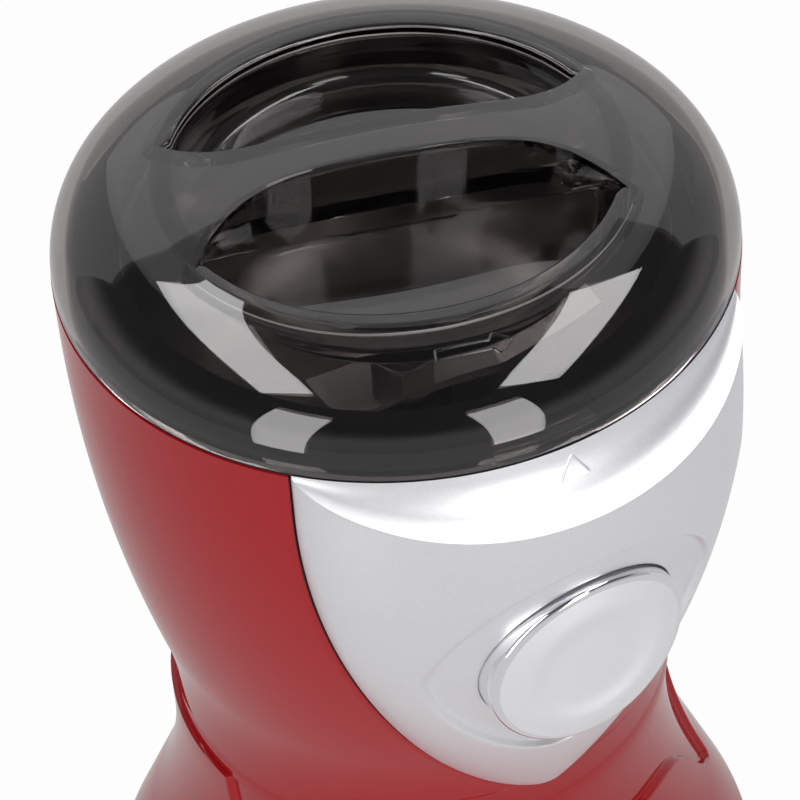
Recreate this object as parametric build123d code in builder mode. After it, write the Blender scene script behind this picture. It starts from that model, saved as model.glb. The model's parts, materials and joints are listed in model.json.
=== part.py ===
from build123d import *
import os
from math import asin, cos, degrees, radians, sin, sqrt

# Electric spice grinder: a waisted two-part housing, a front panel with a round push
# button, a steel bowl with a flat blade over a universal motor, and a bayonet lid.
# Millimetres. The origin is on the table under the motor's axis, +Z is up and the
# button faces -Y. A bearing is an angle from the front (-Y), growing towards +X.

# ---------------------------------------------------------------- fits
seat_gap = 0.3  # between pieces that would touch along curved faces
slide_gap = 0.3  # round a piece that moves
shaft_gap = 0.05  # radial, a shaft in its bearing or bush
pilot_gap = 0.05  # radial, a screw in its hole

# ---------------------------------------------------------------- outer form
rim_height = 158.0  # table to the lid's lower edge
lid_radius = 52.0
lid_rise = 19.3  # lid's lower edge to its crown
lid_wall = 2.0
shell_radius = 52.1
shell_wall = 2.4
band_height = 149.0  # the shell is straight above this and tapers below it
taper_radius = 44.5  # where the taper turns into the hollow of the waist
taper_height = 86.0
waist_radius = 42.3
waist_height = 65.3
seam_height = 64.3  # lower edge of the upper shell
skirt_radius = 42.1  # lower shell at the seam
skirt_wall = 2.5
skirt_straight = 59.0  # the lower shell flares below this
flare_radius = 49.4
flare_height = 23.0
foot_radius = 58.0  # lower shell at its lower edge
skirt_foot = 3.0
raised_step = 1.2  # how far the base's raised fields stand out

# ---------------------------------------------------------------- front panel
panel_half = 36.8  # half the width of the panel at its top
crease_height = 149.0  # the fold under the scooped lip, at the middle
crease_reach = 58.9  # axis to the fold, at the middle
crease_rise = 8.2  # how much higher the fold meets the panel's corners
tip_height = 72.5
tip_reach = 43.6
panel_wall = 2.6
pocket_depth = 1.2  # the panel's edge is let into the shell by this
pocket_gap = 0.5  # the dark line round the panel
recess_depth = 1.2  # the field round the button
recess_half = 25.2
recess_middle = 118.0  # height of its widest place
recess_top = 139.3
recess_tip = 89.5

# ---------------------------------------------------------------- button
button_height = 116.5
button_radius = 16.3
button_proud = 1.88  # the face's middle in front of the panel's form
button_crown = 1.0  # the face's middle in front of its edge
button_travel = 3.0
button_wall = 2.0
button_hole = 17.0
flange_radius = 17.6
flange_thick = 1.0
press_gap = 0.3  # left under the flange when the button is pressed home
tube_gap = 0.1  # flange to the guide's front edge
tube_clear = 1.02  # guide's front edge to the panel's wall
stem_radius = 3.0
stem_gap = 1.0  # end of the stem to the guide's floor
guide_wall = 2.5
guide_floor = 2.0
plunger_sink = 1.2  # plunger's tip behind the floor's front
switch_half = 13.9
switch_half_tall = 5.15
switch_deep = 15.5
switch_pin_set = 8.4  # switch's front to its two pins
terminal_long = 5.9
cheek_gap = 0.15
cheek_thick = 1.1
cheek_deep = 12.2
barb_thick = 1.2
barb_proud = 1.2
barb_gap = 1.2  # play of the barbs behind the shell's wall
dish_radius = 11.2
dish_depth = 0.5

# ---------------------------------------------------------------- bowl and collar
bowl_radius = 40.5  # inside
bowl_wall = 0.7
bowl_clear = 0.4  # switch's cheeks to the bowl's underside
bowl_corner = 15.0
bowl_flange = 42.9
bowl_rim = 158.7
collar_top = 161.0
collar_deck = 2.0
collar_bore = 41.4
neck_radius = 47.8
neck_wall = 1.4
collar_radius = 49.4
collar_low = 150.4
shelf_thick = 2.2
ring_inner = 43.4
ring_outer = 46.1
ring_low = 155.6
ring_high = 158.6
cam_depth = 2.5
lock_angle = 20.0  # how far the lid turns to lock
lug_bearing = -4.0
lug_width = 18.0
lug_inner = 48.2
lug_low = 158.2
lug_high = 159.8
ramp_outer = 49.0
ramp_high = 161.2
stop_width = 2.5
pin_bearing = 150.0
pin_radius = 1.2
pin_collar = 2.0
ledge_bearings = (0.0, 100.0, 240.0)
micro_low = 141.2
micro_high = 148.0
micro_inner = 42.2
micro_outer = 47.6
micro_half = 6.4
hanger_low = 140.0
tab_bearing = 60.0
tab_width = 8.0
tab_inner = 44.2
tab_outer = 45.8
tab_low = 156.9

# ---------------------------------------------------------------- lid grip
grip_turn = -16.0  # the finger bar's direction, from +X
grip_half = 4.9  # half the bar's width at the middle
grip_flare = 9.2  # how much it widens towards its ends
grip_span = 33.0
pit_radius = 34.0
pit_floor = 163.5
pit_fillet = 1.5

# ---------------------------------------------------------------- motor
shaft_radius = 3.0
shaft_below = 2.0  # shaft's end under the fan
blade_clear = 4.0  # bowl's floor to the blade
blade_thick = 1.5
blade_span = 32.0
blade_width = 12.0
stator_tall = 24.0
stator_x = 56.0
stator_y = 48.0
stator_bore = 17.4
coil_inner_x = 18.5
coil_outer_x = 24.0
coil_inner_y = 12.5
coil_outer_y = 19.5
coil_overhang = 7.0
bolt_y = 20.8
bolt_radius = 1.7
armature_radius = 16.6
winding_high = 6.5
bracket_thick = 2.5
upper_leg = 12.0
lower_thick = 3.0
lower_clear = 4.5  # lower bracket to the commutator
bearing_radius = 9.5
bearing_width = 6.0
bearing_wall = 2.0
commutator_radius = 9.5
commutator_tall = 11.0
commutator_gap = 1.0  # to the winding
brush_width = 6.0
brush_tall = 6.4
brush_length = 12.0
holder_wall = 1.0
holder_length = 15.0
fan_radius = 30.0
fan_tall = 9.0
fan_clear = 1.0  # to the lower bearing's cup
fan_blades = 9
mount_x = 24.0
mount_y = 18.0
mount_radius = 5.0
mount_tall = 3.5
chassis_clear = 1.1  # plate to the switch's cheeks
chassis_thick = 3.0
chassis_gap = 0.3

# ---------------------------------------------------------------- base
foot_bearing = 45.0
foot_inset = 12.0  # lower edge to the feet's middles
foot_size = 7.0
foot_height = 2.5
plate_thick = 2.5
plate_gap = 0.4  # bottom plate to the skirt's wall
boss_top = 16.0
boss_sunk = 0.3  # bosses into the wall
base_screw_bearings = (0.0, 105.0, 255.0)
inlet_height = 15.0
inlet_radius = 3.4
gland_radius = 5.4
gland_proud = 2.7
gland_deep = 5.8
pad_half = 10.0
pad_below = 9.0
pad_above = 8.0

# ---------------------------------------------------------------- screws
screw_radius = 1.3
screw_head = 2.8
head_height = 1.8
boss_radius = 3.2

# ---------------------------------------------------------------- worked out
shell_top = rim_height - seat_gap
skirt_top = seam_height - seat_gap
band_drop = band_height - taper_height
taper_cut = shell_radius - taper_radius
taper_arc = (taper_cut**2 + band_drop**2) / (2 * taper_cut)
taper_lean = asin(band_drop / taper_arc)
waist_run = sqrt((taper_radius - waist_radius) ** 2 + (taper_height - waist_height) ** 2)
waist_lean = asin((taper_radius - waist_radius) / waist_run)
waist_arc = waist_run / (2 * sin(taper_lean - waist_lean))
panel_top = rim_height + 2.0
panel_stations = (0.0, 0.2092, 0.4052, 0.6013, 0.7974, 0.9281)  # where the form is drawn
panel_foot = 0.985  # share of the way to the tip where the panel's form ends
hollow_foot = 0.93  # and where the hollow behind it ends
cheek_reach = switch_half_tall + cheek_gap + cheek_thick
chassis_high = button_height - cheek_reach - chassis_clear
chassis_low = chassis_high - chassis_thick
bowl_outer = bowl_radius + bowl_wall
bowl_under = button_height + cheek_reach + bowl_clear
bowl_floor = bowl_under + bowl_wall
blade_height = bowl_floor + blade_clear
shelf_high = collar_low + shelf_thick
bracket_top = chassis_low - mount_tall
bracket_high = bracket_top - bracket_thick
stator_high = bracket_high - upper_leg
stator_low = stator_high - stator_tall
commutator_high = stator_low - winding_high - commutator_gap
commutator_low = commutator_high - commutator_tall
brush_height = (commutator_low + commutator_high) / 2
lower_bracket_high = commutator_low - lower_clear
lower_bracket = lower_bracket_high - lower_thick
upper_seat = bracket_top - bearing_width - 2 * shaft_gap
lower_seat = lower_bracket_high - bearing_width
cup_wall = 1.0  # floor of the bearings' cups
fan_high = lower_seat - cup_wall - fan_clear
fan_low = fan_high - fan_tall
shaft_low = fan_low - shaft_below
guide_inner = flange_radius + slide_gap
guide_outer = guide_inner + guide_wall
neck_inner = neck_radius - neck_wall
deck_low = collar_top - collar_deck
ramp_low = lug_high + seat_gap
ring_middle = (ring_inner + ring_outer) / 2
plate_low = foot_height
plate_high = plate_low + plate_thick
foot_circle = foot_radius - foot_inset


def skirt_radius_at(height):
    """Outer radius of the lower shell at a height below its flare."""
    slope = (foot_radius - flare_radius) / (flare_height - skirt_foot)
    return flare_radius + slope * (flare_height - height)


def shell_radius_at(height):
    """Radius of the upper shell at a height."""
    if height >= band_height:
        return shell_radius
    if height >= taper_height:
        return shell_radius - taper_arc + sqrt(taper_arc**2 - (band_height - height) ** 2)
    centre_r = taper_radius + waist_arc * cos(taper_lean)
    centre_z = taper_height - waist_arc * sin(taper_lean)
    return centre_r - sqrt(waist_arc**2 - (height - centre_z) ** 2)


def panel_share(height):
    """Share of the way from the panel's fold down to its tip."""
    return max(0.0, (crease_height - height) / (crease_height - tip_height))


def panel_width_at(height):
    """Half the panel's width at a height."""
    return panel_half * (1 - panel_share(height) ** 2) ** (2 / 3)


def panel_reach_at(height):
    """How far the panel's middle line stands from the axis at a height."""
    return crease_reach - (crease_reach - tip_reach) * panel_share(height) ** 1.8


button_face = panel_reach_at(button_height) + button_proud
button_edge = button_face - button_crown
guide_front = panel_reach_at(button_height - guide_outer) - panel_wall - tube_clear
flange_back = guide_front + tube_gap
flange_front = flange_back + flange_thick
guide_floor_front = flange_back - button_travel - press_gap
stem_end = guide_floor_front + stem_gap
plunger_tip = guide_floor_front - plunger_sink
guide_floor_back = guide_floor_front - guide_floor
switch_front = guide_floor_back - seat_gap
switch_back = switch_front - switch_deep
switch_pins = switch_front - switch_pin_set
terminal_end = switch_back - terminal_long


def at_bearing(radius, bearing):
    """Point in plan at a radius and a bearing."""
    return (radius * sin(radians(bearing)), -radius * cos(radians(bearing)))


def body_form(inset, low, high):
    """Solid inside the upper shell's surface, moved inwards by inset."""
    with BuildPart() as form:
        with BuildSketch(Plane.XZ):
            with BuildLine():
                band = Line((shell_radius - inset, high), (shell_radius - inset, band_height))
                taper = TangentArc(
                    band @ 1, (taper_radius - inset, taper_height), tangent=band % 1
                )
                waist = TangentArc(
                    taper @ 1, (waist_radius - inset, waist_height), tangent=taper % 1
                )
                Polyline(waist @ 1, (waist_radius - inset, low), (0, low), (0, high), band @ 0)
            make_face()
        revolve(axis=Axis.Z)
    return form.part


def skirt_form(inset, low, high, spread=0.0):
    """Solid inside the lower shell's surface, moved inwards by inset; spread opens its foot."""
    with BuildPart() as form:
        with BuildSketch(Plane.XZ):
            with BuildLine():
                neck = Line((skirt_radius - inset, high), (skirt_radius - inset, skirt_straight))
                flare = TangentArc(
                    neck @ 1, (flare_radius - inset, flare_height), tangent=neck % 1
                )
                foot = Line(flare @ 1, (foot_radius - inset + spread, low))
                Polyline(foot @ 1, (0, low), (0, high), neck @ 0)
            make_face()
        revolve(axis=Axis.Z)
    return form.part


def panel_form(grow, top, foot_share=panel_foot):
    """Bulging form of the front panel: flat ellipses, each grown by grow, on the shell."""
    tip_section = crease_height - foot_share * (crease_height - tip_height)
    heights = [crease_height - share * (crease_height - tip_height) for share in panel_stations]
    heights = [top] + [height for height in heights if height < top]
    heights.append(tip_section)
    sections = []
    for height in heights:
        width = panel_width_at(height)
        back = sqrt(shell_radius_at(height) ** 2 - width**2)
        depth = panel_reach_at(height) - back
        with BuildSketch(Plane.XY.offset(height)) as section:
            with Locations((0, -back)):
                Ellipse(max(width + grow, 0.6), max(depth + grow, 0.3))
        sections.append(section.sketch)
    with BuildPart() as form:
        loft(sections)
    return form.part


def ring_sector(inner, outer, low, high, bearing, width, mode=Mode.ADD):
    """Part of a flat ring, centred on a bearing and width degrees wide."""
    start = bearing - width / 2 - 90
    with BuildSketch(Plane.XY.offset(low)) as sector:
        with BuildLine():
            near = CenterArc((0, 0), inner, start, width)
            far = CenterArc((0, 0), outer, start, width)
            Line(near @ 0, far @ 0)
            Line(near @ 1, far @ 1)
        make_face()
    extrude(sector.sketch, amount=high - low, mode=mode)


def upright(radius, low, high, places=((0, 0),), mode=Mode.ADD):
    """Upright cylinders of one radius between two heights."""
    with BuildSketch(Plane.XY.offset(low)) as rounds:
        with Locations(*places):
            Circle(radius)
    extrude(rounds.sketch, amount=high - low, mode=mode)


def level(radius, front, back, places, mode=Mode.ADD):
    """Cylinders along Y between two distances in front of the axis; places are (x, z)."""
    with BuildSketch(Plane((0, -front, 0), x_dir=(1, 0, 0), z_dir=(0, -1, 0))) as rounds:
        with Locations(*places):
            Circle(radius)
    extrude(rounds.sketch, amount=back - front, mode=mode)


def ring(inner, outer, low, high, mode=Mode.ADD):
    """Flat ring round the axis between two heights."""
    with BuildSketch(Plane.XY.offset(low)) as flat:
        Circle(outer)
        Circle(inner, mode=Mode.SUBTRACT)
    extrude(flat.sketch, amount=high - low, mode=mode)


def slab(x_low, x_high, y_low, y_high, low, high, mode=Mode.ADD):
    """Block between two corners."""
    with BuildSketch(Plane.XY.offset(low)) as block:
        with Locations(((x_low + x_high) / 2, (y_low + y_high) / 2)):
            Rectangle(x_high - x_low, y_high - y_low)
    extrude(block.sketch, amount=high - low, mode=mode)


def turned_block(bearing, near, far, half, low, high, mode=Mode.ADD):
    """Block square to a bearing, between two distances from the axis."""
    with BuildSketch(Plane.XY.offset(low).rotated((0, 0, bearing - 90))) as block:
        with Locations(((near + far) / 2, 0)):
            Rectangle(far - near, 2 * half)
    extrude(block.sketch, amount=high - low, mode=mode)


def coil_spring(coil_radius, wire, length, turns):
    """Coil spring standing on the origin along +Z."""
    with BuildPart() as coil:
        with BuildLine() as path:
            Helix((length - wire) / turns, length - wire, coil_radius, center=(0, 0, wire / 2))
        with BuildSketch(Plane(path.line @ 0, z_dir=path.line % 0)):
            Circle(wire / 2)
        sweep(path=path.line, is_frenet=True)
    return coil.part


def pan_screw(length, radius=screw_radius, head=screw_head, head_tall=head_height):
    """Pan-headed screw along +Z, the underside of its head at the origin."""
    with BuildPart() as screw:
        Cylinder(radius, length, align=(Align.CENTER, Align.CENTER, Align.MIN))
        Cylinder(head, head_tall, align=(Align.CENTER, Align.CENTER, Align.MAX))
    return screw.part


def bearing_part(low):
    """Small ball bearing with a recessed shield on each face."""
    with BuildPart() as bearing:
        ring(shaft_radius + shaft_gap, bearing_radius, low, low + bearing_width)
        ring(4.8, 7.6, low, low + 0.4, Mode.SUBTRACT)
        ring(4.8, 7.6, low + bearing_width - 0.4, low + bearing_width, Mode.SUBTRACT)
    return bearing.part


def finish(builder, label):
    """Label a piece and write it to its own file."""
    builder.part.label = label
    export_step(builder.part, f"parts/{label}.step")


os.makedirs("parts", exist_ok=True)

# ================================================================ lid
crown = rim_height + lid_rise
dome_outer = [(0, crown), (20, crown - 1.7), (35.9, crown - 5.3), (44, crown - 7.9)]
dome_outer += [(47, crown - 9.7), (50, crown - 12.5), (51.6, crown - 15.9)]
dome_outer.append((lid_radius, rim_height))
skirt_inner = lid_radius - lid_wall
dome_inner = [(0, crown - lid_wall), (19.7, crown - 3.7), (35.2, crown - 7.2), (42.9, crown - 9.7)]
dome_inner += [(45.5, crown - 11.2), (48.2, crown - 13.7), (49.6, crown - 16.6)]
dome_inner.append((skirt_inner, rim_height))


def dome_form(points):
    """Solid under a dome's meridian."""
    with BuildPart() as form:
        with BuildSketch(Plane.XZ):
            with BuildLine():
                edge = Spline(*points, tangents=[(1, 0), (0, -1)])
                Polyline(edge @ 1, (0, rim_height), edge @ 0)
            make_face()
        revolve(axis=Axis.Z)
    return form.part


def grip_edge(along):
    """Half the finger bar's width at a distance along it."""
    return grip_half + grip_flare * (abs(along) / grip_span) ** 4


def pit_sketch(side, grow, height):
    """Plan of one finger pit beside the bar, side is +1 or -1, grown by grow."""
    reach = 30.6 - 0.7 * grow
    stations = [-reach, -0.7 * reach, -0.35 * reach, 0, 0.35 * reach, 0.7 * reach, reach]
    bar_side = [(u, side * (grip_edge(u) - grow)) for u in stations]
    end_u = bar_side[-1][0] + grow
    end_v = side * sqrt((pit_radius + grow) ** 2 - end_u**2)
    turned = Plane.XY.offset(height).rotated((0, 0, grip_turn))
    with BuildSketch(turned) as pit:
        with BuildLine():
            bar = Spline(*bar_side)
            right = Line(bar @ 1, (end_u, end_v))
            far = ThreePointArc(right @ 1, (0, side * (pit_radius + grow)), (-end_u, end_v))
            Line(far @ 1, bar @ 0)
        make_face()
    return pit.sketch


with BuildPart() as lid:
    add(dome_form(dome_outer))
    add(dome_form(dome_inner), mode=Mode.SUBTRACT)
    for side in (1, -1):
        extrude(pit_sketch(side, lid_wall, pit_floor - lid_wall), amount=lid_rise)
    add(dome_form(dome_outer), mode=Mode.INTERSECT)
    for side in (1, -1):
        extrude(pit_sketch(side, 0, pit_floor), amount=lid_rise, mode=Mode.SUBTRACT)
    for turn in (0, 120, 240):
        ring_sector(lug_inner, skirt_inner + 0.6, lug_low, lug_high, lug_bearing + turn, lug_width)
    ring_sector(tab_inner, tab_outer, tab_low, rim_height + 8.4, tab_bearing, tab_width)
finish(lid, "lid")

# ================================================================ upper shell
switch_window = guide_outer + pocket_gap
upper_screw = 138.0
lower_screw_gap = 0.9  # guide's tube to the lower screws' bosses
lower_screw = button_height - guide_outer - boss_radius - lower_screw_gap
panel_screw_places = [(-24, upper_screw), (24, upper_screw), (-8, lower_screw), (8, lower_screw)]
chassis_bearings = (45.0, 135.0, 225.0, 315.0)
chassis_screw_circle = 41.5
collar_bearings = (90.0, 210.0, 330.0)
collar_screw_circle = 47.7
collar_screw = 0.9
collar_screw_head = 1.6
barb_bearings = (45.0, 135.0, 225.0, 315.0)
barb_height = 66.0
barb_tall = 2.0
barb_out = 0.7
spigot_radius = waist_radius - shell_wall - seat_gap
spigot_wall = 2.0
spigot_high = 70.0

with BuildPart() as body_shell:
    add(body_form(0, seam_height, shell_top))
    add(body_form(shell_wall, seam_height - 1, shell_top + 1), mode=Mode.SUBTRACT)
    for bearing in chassis_bearings:
        upright(boss_radius, chassis_low - 10, chassis_low, [at_bearing(chassis_screw_circle, bearing)])
        ring_sector(chassis_screw_circle, shell_radius - shell_wall, chassis_low - 10, chassis_low, bearing, 3)
    for bearing in collar_bearings:
        ring_sector(46.2, shell_radius - 1, collar_low - 4, collar_low - seat_gap, bearing, 12)
    add(body_form(0, seam_height, shell_top), mode=Mode.INTERSECT)
    pocket_cut = panel_form(pocket_gap, panel_top)
    with BuildPart(mode=Mode.PRIVATE) as pocket:
        add(pocket_cut)
        add(body_form(pocket_depth, seam_height - 2, panel_top + 2), mode=Mode.SUBTRACT)
    add(pocket.part, mode=Mode.SUBTRACT)
    level(switch_window, shell_radius + 1, 40, [(0, button_height)], mode=Mode.SUBTRACT)
    level(screw_radius + pilot_gap, shell_radius + 1, 30, panel_screw_places, mode=Mode.SUBTRACT)
    for bearing in chassis_bearings:
        place = at_bearing(chassis_screw_circle, bearing)
        upright(screw_radius + pilot_gap, chassis_low - 8, chassis_low, [place], Mode.SUBTRACT)
    for bearing in collar_bearings:
        place = at_bearing(collar_screw_circle, bearing)
        upright(collar_screw + pilot_gap, collar_low - 5, collar_low, [place], Mode.SUBTRACT)
    for bearing in barb_bearings:
        ring_sector(
            spigot_radius,
            spigot_radius + barb_out + 2 * seat_gap,
            barb_height - seat_gap,
            barb_height + barb_tall + seat_gap,
            bearing,
            14,
            Mode.SUBTRACT,
        )
finish(body_shell, "body_shell")

# ================================================================ front panel
boss_play = 0.25  # bosses to the pocket's floor
boss_back = {
    z: sqrt((shell_radius_at(z) - pocket_depth) ** 2 - (abs(x) - boss_radius) ** 2) + boss_play
    for x, z in panel_screw_places
}
lip_out = crease_reach - shell_radius
lip_low = 145.0

with BuildPart() as lip_scoop:
    with BuildSketch(Plane.YZ) as over_fold:
        fold_back = -panel_half
        fold_slope = crease_rise / (crease_reach - panel_half)
        with BuildLine():
            Polyline(
                (-75, crease_height - fold_slope * (75 - crease_reach)),
                (-30, crease_height + fold_slope * (crease_reach - 30)),
                (-30, rim_height + 20),
                (-75, rim_height + 20),
                close=True,
            )
        make_face()
    extrude(amount=60, both=True)
    with BuildSketch(Plane.XZ):
        with BuildLine():
            lip = Spline(
                (shell_radius, rim_height + 3),
                (shell_radius, rim_height - 0.5),
                (shell_radius + 0.08 * lip_out, rim_height - 3.0),
                (shell_radius + 0.2 * lip_out, rim_height - 5.4),
                (shell_radius + 0.51 * lip_out, crease_height + 1.6),
                (shell_radius + 1.45 * lip_out, crease_height - 1.0),
            )
            Polyline(lip @ 1, ((lip @ 1).X, 130), (0, 130), (0, rim_height + 3), lip @ 0)
        make_face()
    revolve(axis=Axis.Z, mode=Mode.SUBTRACT)

with BuildPart() as recess_cut:
    with BuildSketch(Plane((0, -40, 0), x_dir=(1, 0, 0), z_dir=(0, -1, 0))):
        with BuildLine():
            brow = ThreePointArc(
                (-recess_half, recess_middle), (0, recess_top), (recess_half, recess_middle)
            )
            chin = Spline(
                brow @ 1,
                (22.2, recess_middle - 9.0),
                (12.5, recess_middle - 21.5),
                (0, recess_tip),
                (-12.5, recess_middle - 21.5),
                (-22.2, recess_middle - 9.0),
                brow @ 0,
            )
        make_face()
    extrude(amount=30)
    add(panel_form(-recess_depth, panel_top), mode=Mode.SUBTRACT)

with BuildPart() as front_panel:
    add(panel_form(0, panel_top))
    add(lip_scoop.part, mode=Mode.SUBTRACT)
    add(panel_form(-panel_wall, lip_low, hollow_foot), mode=Mode.SUBTRACT)
    for x, z in panel_screw_places:
        level(boss_radius, boss_back[z] + 0.2, boss_back[z] + 8, [(x, z)])
    add(panel_form(0, panel_top), mode=Mode.INTERSECT)
    add(body_form(pocket_depth - seat_gap, seam_height - 2, panel_top + 2), mode=Mode.SUBTRACT)
    slab(-60, 60, -70, 0, shell_top, panel_top + 5, Mode.SUBTRACT)
    add(recess_cut.part, mode=Mode.SUBTRACT)
    level(button_hole, crease_reach + 3, 30, [(0, button_height)], mode=Mode.SUBTRACT)
    for x, z in panel_screw_places:
        level(screw_radius + pilot_gap, boss_back[z] - 4, boss_back[z] + 3.4, [(x, z)], Mode.SUBTRACT)
finish(front_panel, "front_panel")

with BuildPart() as panel_screws:
    for x, z in panel_screw_places:
        head_seat = sqrt((shell_radius_at(z) - shell_wall) ** 2 - (abs(x) + screw_head) ** 2)
        with Locations(Plane((x, -head_seat + seat_gap, z), x_dir=(1, 0, 0), z_dir=(0, -1, 0))):
            add(pan_screw(boss_back[z] + 3.0 - head_seat))
finish(panel_screws, "panel_screws")

# ================================================================ push button
button_axis = Axis((0, 0, button_height), (0, 1, 0))

with BuildPart() as button_cap:
    with BuildSketch(Plane((0, 0, button_height), x_dir=(0, 1, 0), z_dir=(1, 0, 0))):
        with BuildLine():
            Polyline(
                (-stem_end, 0),
                (-stem_end, stem_radius),
                (-button_edge + button_wall, stem_radius),
                (-button_edge + button_wall, button_radius - button_wall),
                (-flange_front + flange_thick, button_radius - button_wall),
                (-flange_front + flange_thick, flange_radius),
                (-flange_front, flange_radius),
                (-flange_front, button_radius),
                (-button_edge + 1.0, button_radius),
            )
            ThreePointArc(
                (-button_edge + 1.0, button_radius),
                (-button_edge + 0.25, button_radius - 0.3),
                (-button_edge, button_radius - 1.0),
            )
            ThreePointArc(
                (-button_edge, button_radius - 1.0),
                (-button_face + 0.25, dish_radius + 2.2),
                (-button_face, dish_radius),
            )
            TangentArc((-button_face + dish_depth, 0), (-button_face, dish_radius), tangent=(0, 1))
            Line((-button_face + dish_depth, 0), (-stem_end, 0))
        make_face()
    revolve(axis=button_axis)
finish(button_cap, "button_cap")

plunger_radius = 1.6
plunger_length = 4.0
pin_spread = 11.1
wall_inside = sqrt((shell_radius_at(button_height) - shell_wall) ** 2 - (guide_outer + barb_proud) ** 2)
barb_back = wall_inside - barb_gap - barb_thick

with BuildPart() as button_guide:
    level(guide_outer, guide_front, guide_floor_back, [(0, button_height)])
    level(guide_inner, guide_front + 1, guide_floor_front, [(0, button_height)], Mode.SUBTRACT)
    for side in (1, -1):
        slab(
            *sorted((side * (guide_outer - guide_wall), side * guide_outer)),
            -guide_front + guide_floor,
            -barb_back,
            button_height - 4,
            button_height + 4,
        )
        slab(
            *sorted((side * (guide_outer - 1), side * (guide_outer + barb_proud))),
            -barb_back - barb_thick,
            -barb_back,
            button_height - 4,
            button_height + 4,
        )
        cheek = button_height + side * (switch_half_tall + cheek_gap + cheek_thick / 2)
        slab(
            -switch_half,
            switch_half,
            -guide_floor_front + 0.5,
            -guide_floor_back + cheek_deep,
            cheek - cheek_thick / 2,
            cheek + cheek_thick / 2,
        )
    pin_low = button_height - switch_half_tall - cheek_gap - cheek_thick
    upright(
        1.45,
        pin_low,
        button_height + switch_half_tall + cheek_gap + cheek_thick,
        [(-pin_spread, -switch_pins), (pin_spread, -switch_pins)],
    )
    level(
        stem_radius + slide_gap, guide_front, guide_floor_back - 1, [(0, button_height)], Mode.SUBTRACT
    )
finish(button_guide, "button_guide")

spring_front = button_edge - button_wall - 0.1
spring_back = guide_floor_front + 0.1
with BuildPart() as button_spring:
    with Locations(Plane((0, -spring_back, button_height), x_dir=(1, 0, 0), z_dir=(0, -1, 0))):
        add(coil_spring(4.4, 0.8, spring_front - spring_back, 5))
finish(button_spring, "button_spring")

with BuildPart() as start_switch:
    slab(
        -switch_half,
        switch_half,
        -switch_front,
        -switch_back,
        button_height - switch_half_tall,
        button_height + switch_half_tall,
    )
    for x in (-9, 0, 9):
        slab(x - 2.4, x + 2.4, -switch_back, -terminal_end, button_height - 0.4, button_height + 0.4)
    upright(
        1.5,
        button_height - 6,
        button_height + 6,
        [(-pin_spread, -switch_pins), (pin_spread, -switch_pins)],
        Mode.SUBTRACT,
    )
    level(
        plunger_radius + slide_gap,
        switch_front + 1,
        plunger_tip - plunger_length - button_travel,
        [(0, button_height)],
        Mode.SUBTRACT,
    )
finish(start_switch, "start_switch")

with BuildPart() as switch_plunger:
    level(plunger_radius, plunger_tip, plunger_tip - plunger_length, [(0, button_height)])
finish(switch_plunger, "switch_plunger")

# ================================================================ bowl collar and interlock
with BuildPart() as bowl_collar:
    ring(collar_bore, neck_radius, deck_low, collar_top)
    ring(neck_inner, neck_radius, collar_low, collar_top)
    ring(neck_inner, collar_radius, collar_low, collar_low + shelf_thick)
    lug_end = lug_bearing + lug_width / 2
    ramp_start = lug_end + 1.0
    stop_start = lug_end + lock_angle + 0.5
    for turn in (0, 120, 240):
        ring_sector(
            neck_radius - 0.5,
            ramp_outer,
            ramp_low,
            ramp_high,
            turn + (ramp_start + stop_start) / 2,
            stop_start - ramp_start + 0.2,
        )
        ring_sector(
            neck_radius - 0.5,
            ramp_outer,
            lug_low - 0.5,
            ramp_high,
            turn + stop_start + stop_width / 2,
            stop_width,
        )
    for bearing in ledge_bearings:
        ring_sector(44.8, neck_inner + 0.4, 153.7, ring_low - seat_gap, bearing, 16)
    for bearing in collar_bearings:
        ring_sector(neck_inner, collar_radius, collar_low, 157.2, bearing, 8)
    ring_sector(48.3, 49.2, hanger_low, collar_low + 1, pin_bearing, 20.4)
    ring_sector(micro_inner, 49.2, hanger_low, micro_low, pin_bearing, 20.4)
    for side in (-1, 1):
        ring_sector(micro_inner, 49.2, hanger_low, 144, pin_bearing + side * 9.6, 1.2)
    slot_width = tab_width + lock_angle + 1.2
    slot_middle = tab_bearing + lock_angle / 2
    ring_sector(
        tab_inner - slide_gap,
        tab_outer + slide_gap,
        deck_low - 1,
        collar_top + 1,
        slot_middle,
        slot_width,
        Mode.SUBTRACT,
    )
    for bearing in collar_bearings:
        place = at_bearing(collar_screw_circle, bearing)
        upright(collar_screw + pilot_gap, collar_low - 1, 156.4, [place], Mode.SUBTRACT)
    pin_place = [at_bearing(ring_middle, pin_bearing)]
    upright(pin_collar + slide_gap, micro_high, ring_low - seat_gap, pin_place, Mode.SUBTRACT)
finish(bowl_collar, "bowl_collar")

with BuildPart() as collar_screws:
    for bearing in collar_bearings:
        x, y = at_bearing(collar_screw_circle, bearing)
        with Locations((x, y, collar_low - 4)):
            add(pan_screw(9.6, collar_screw, collar_screw_head, 1.4))
finish(collar_screws, "collar_screws")

cam_start = pin_bearing - degrees(pin_radius / ring_middle) - 0.1
cam_end = cam_start - lock_angle
cam_inner = ring_inner + 0.2
cam_outer = ring_outer - 0.2
cam_steps = 5

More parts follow.
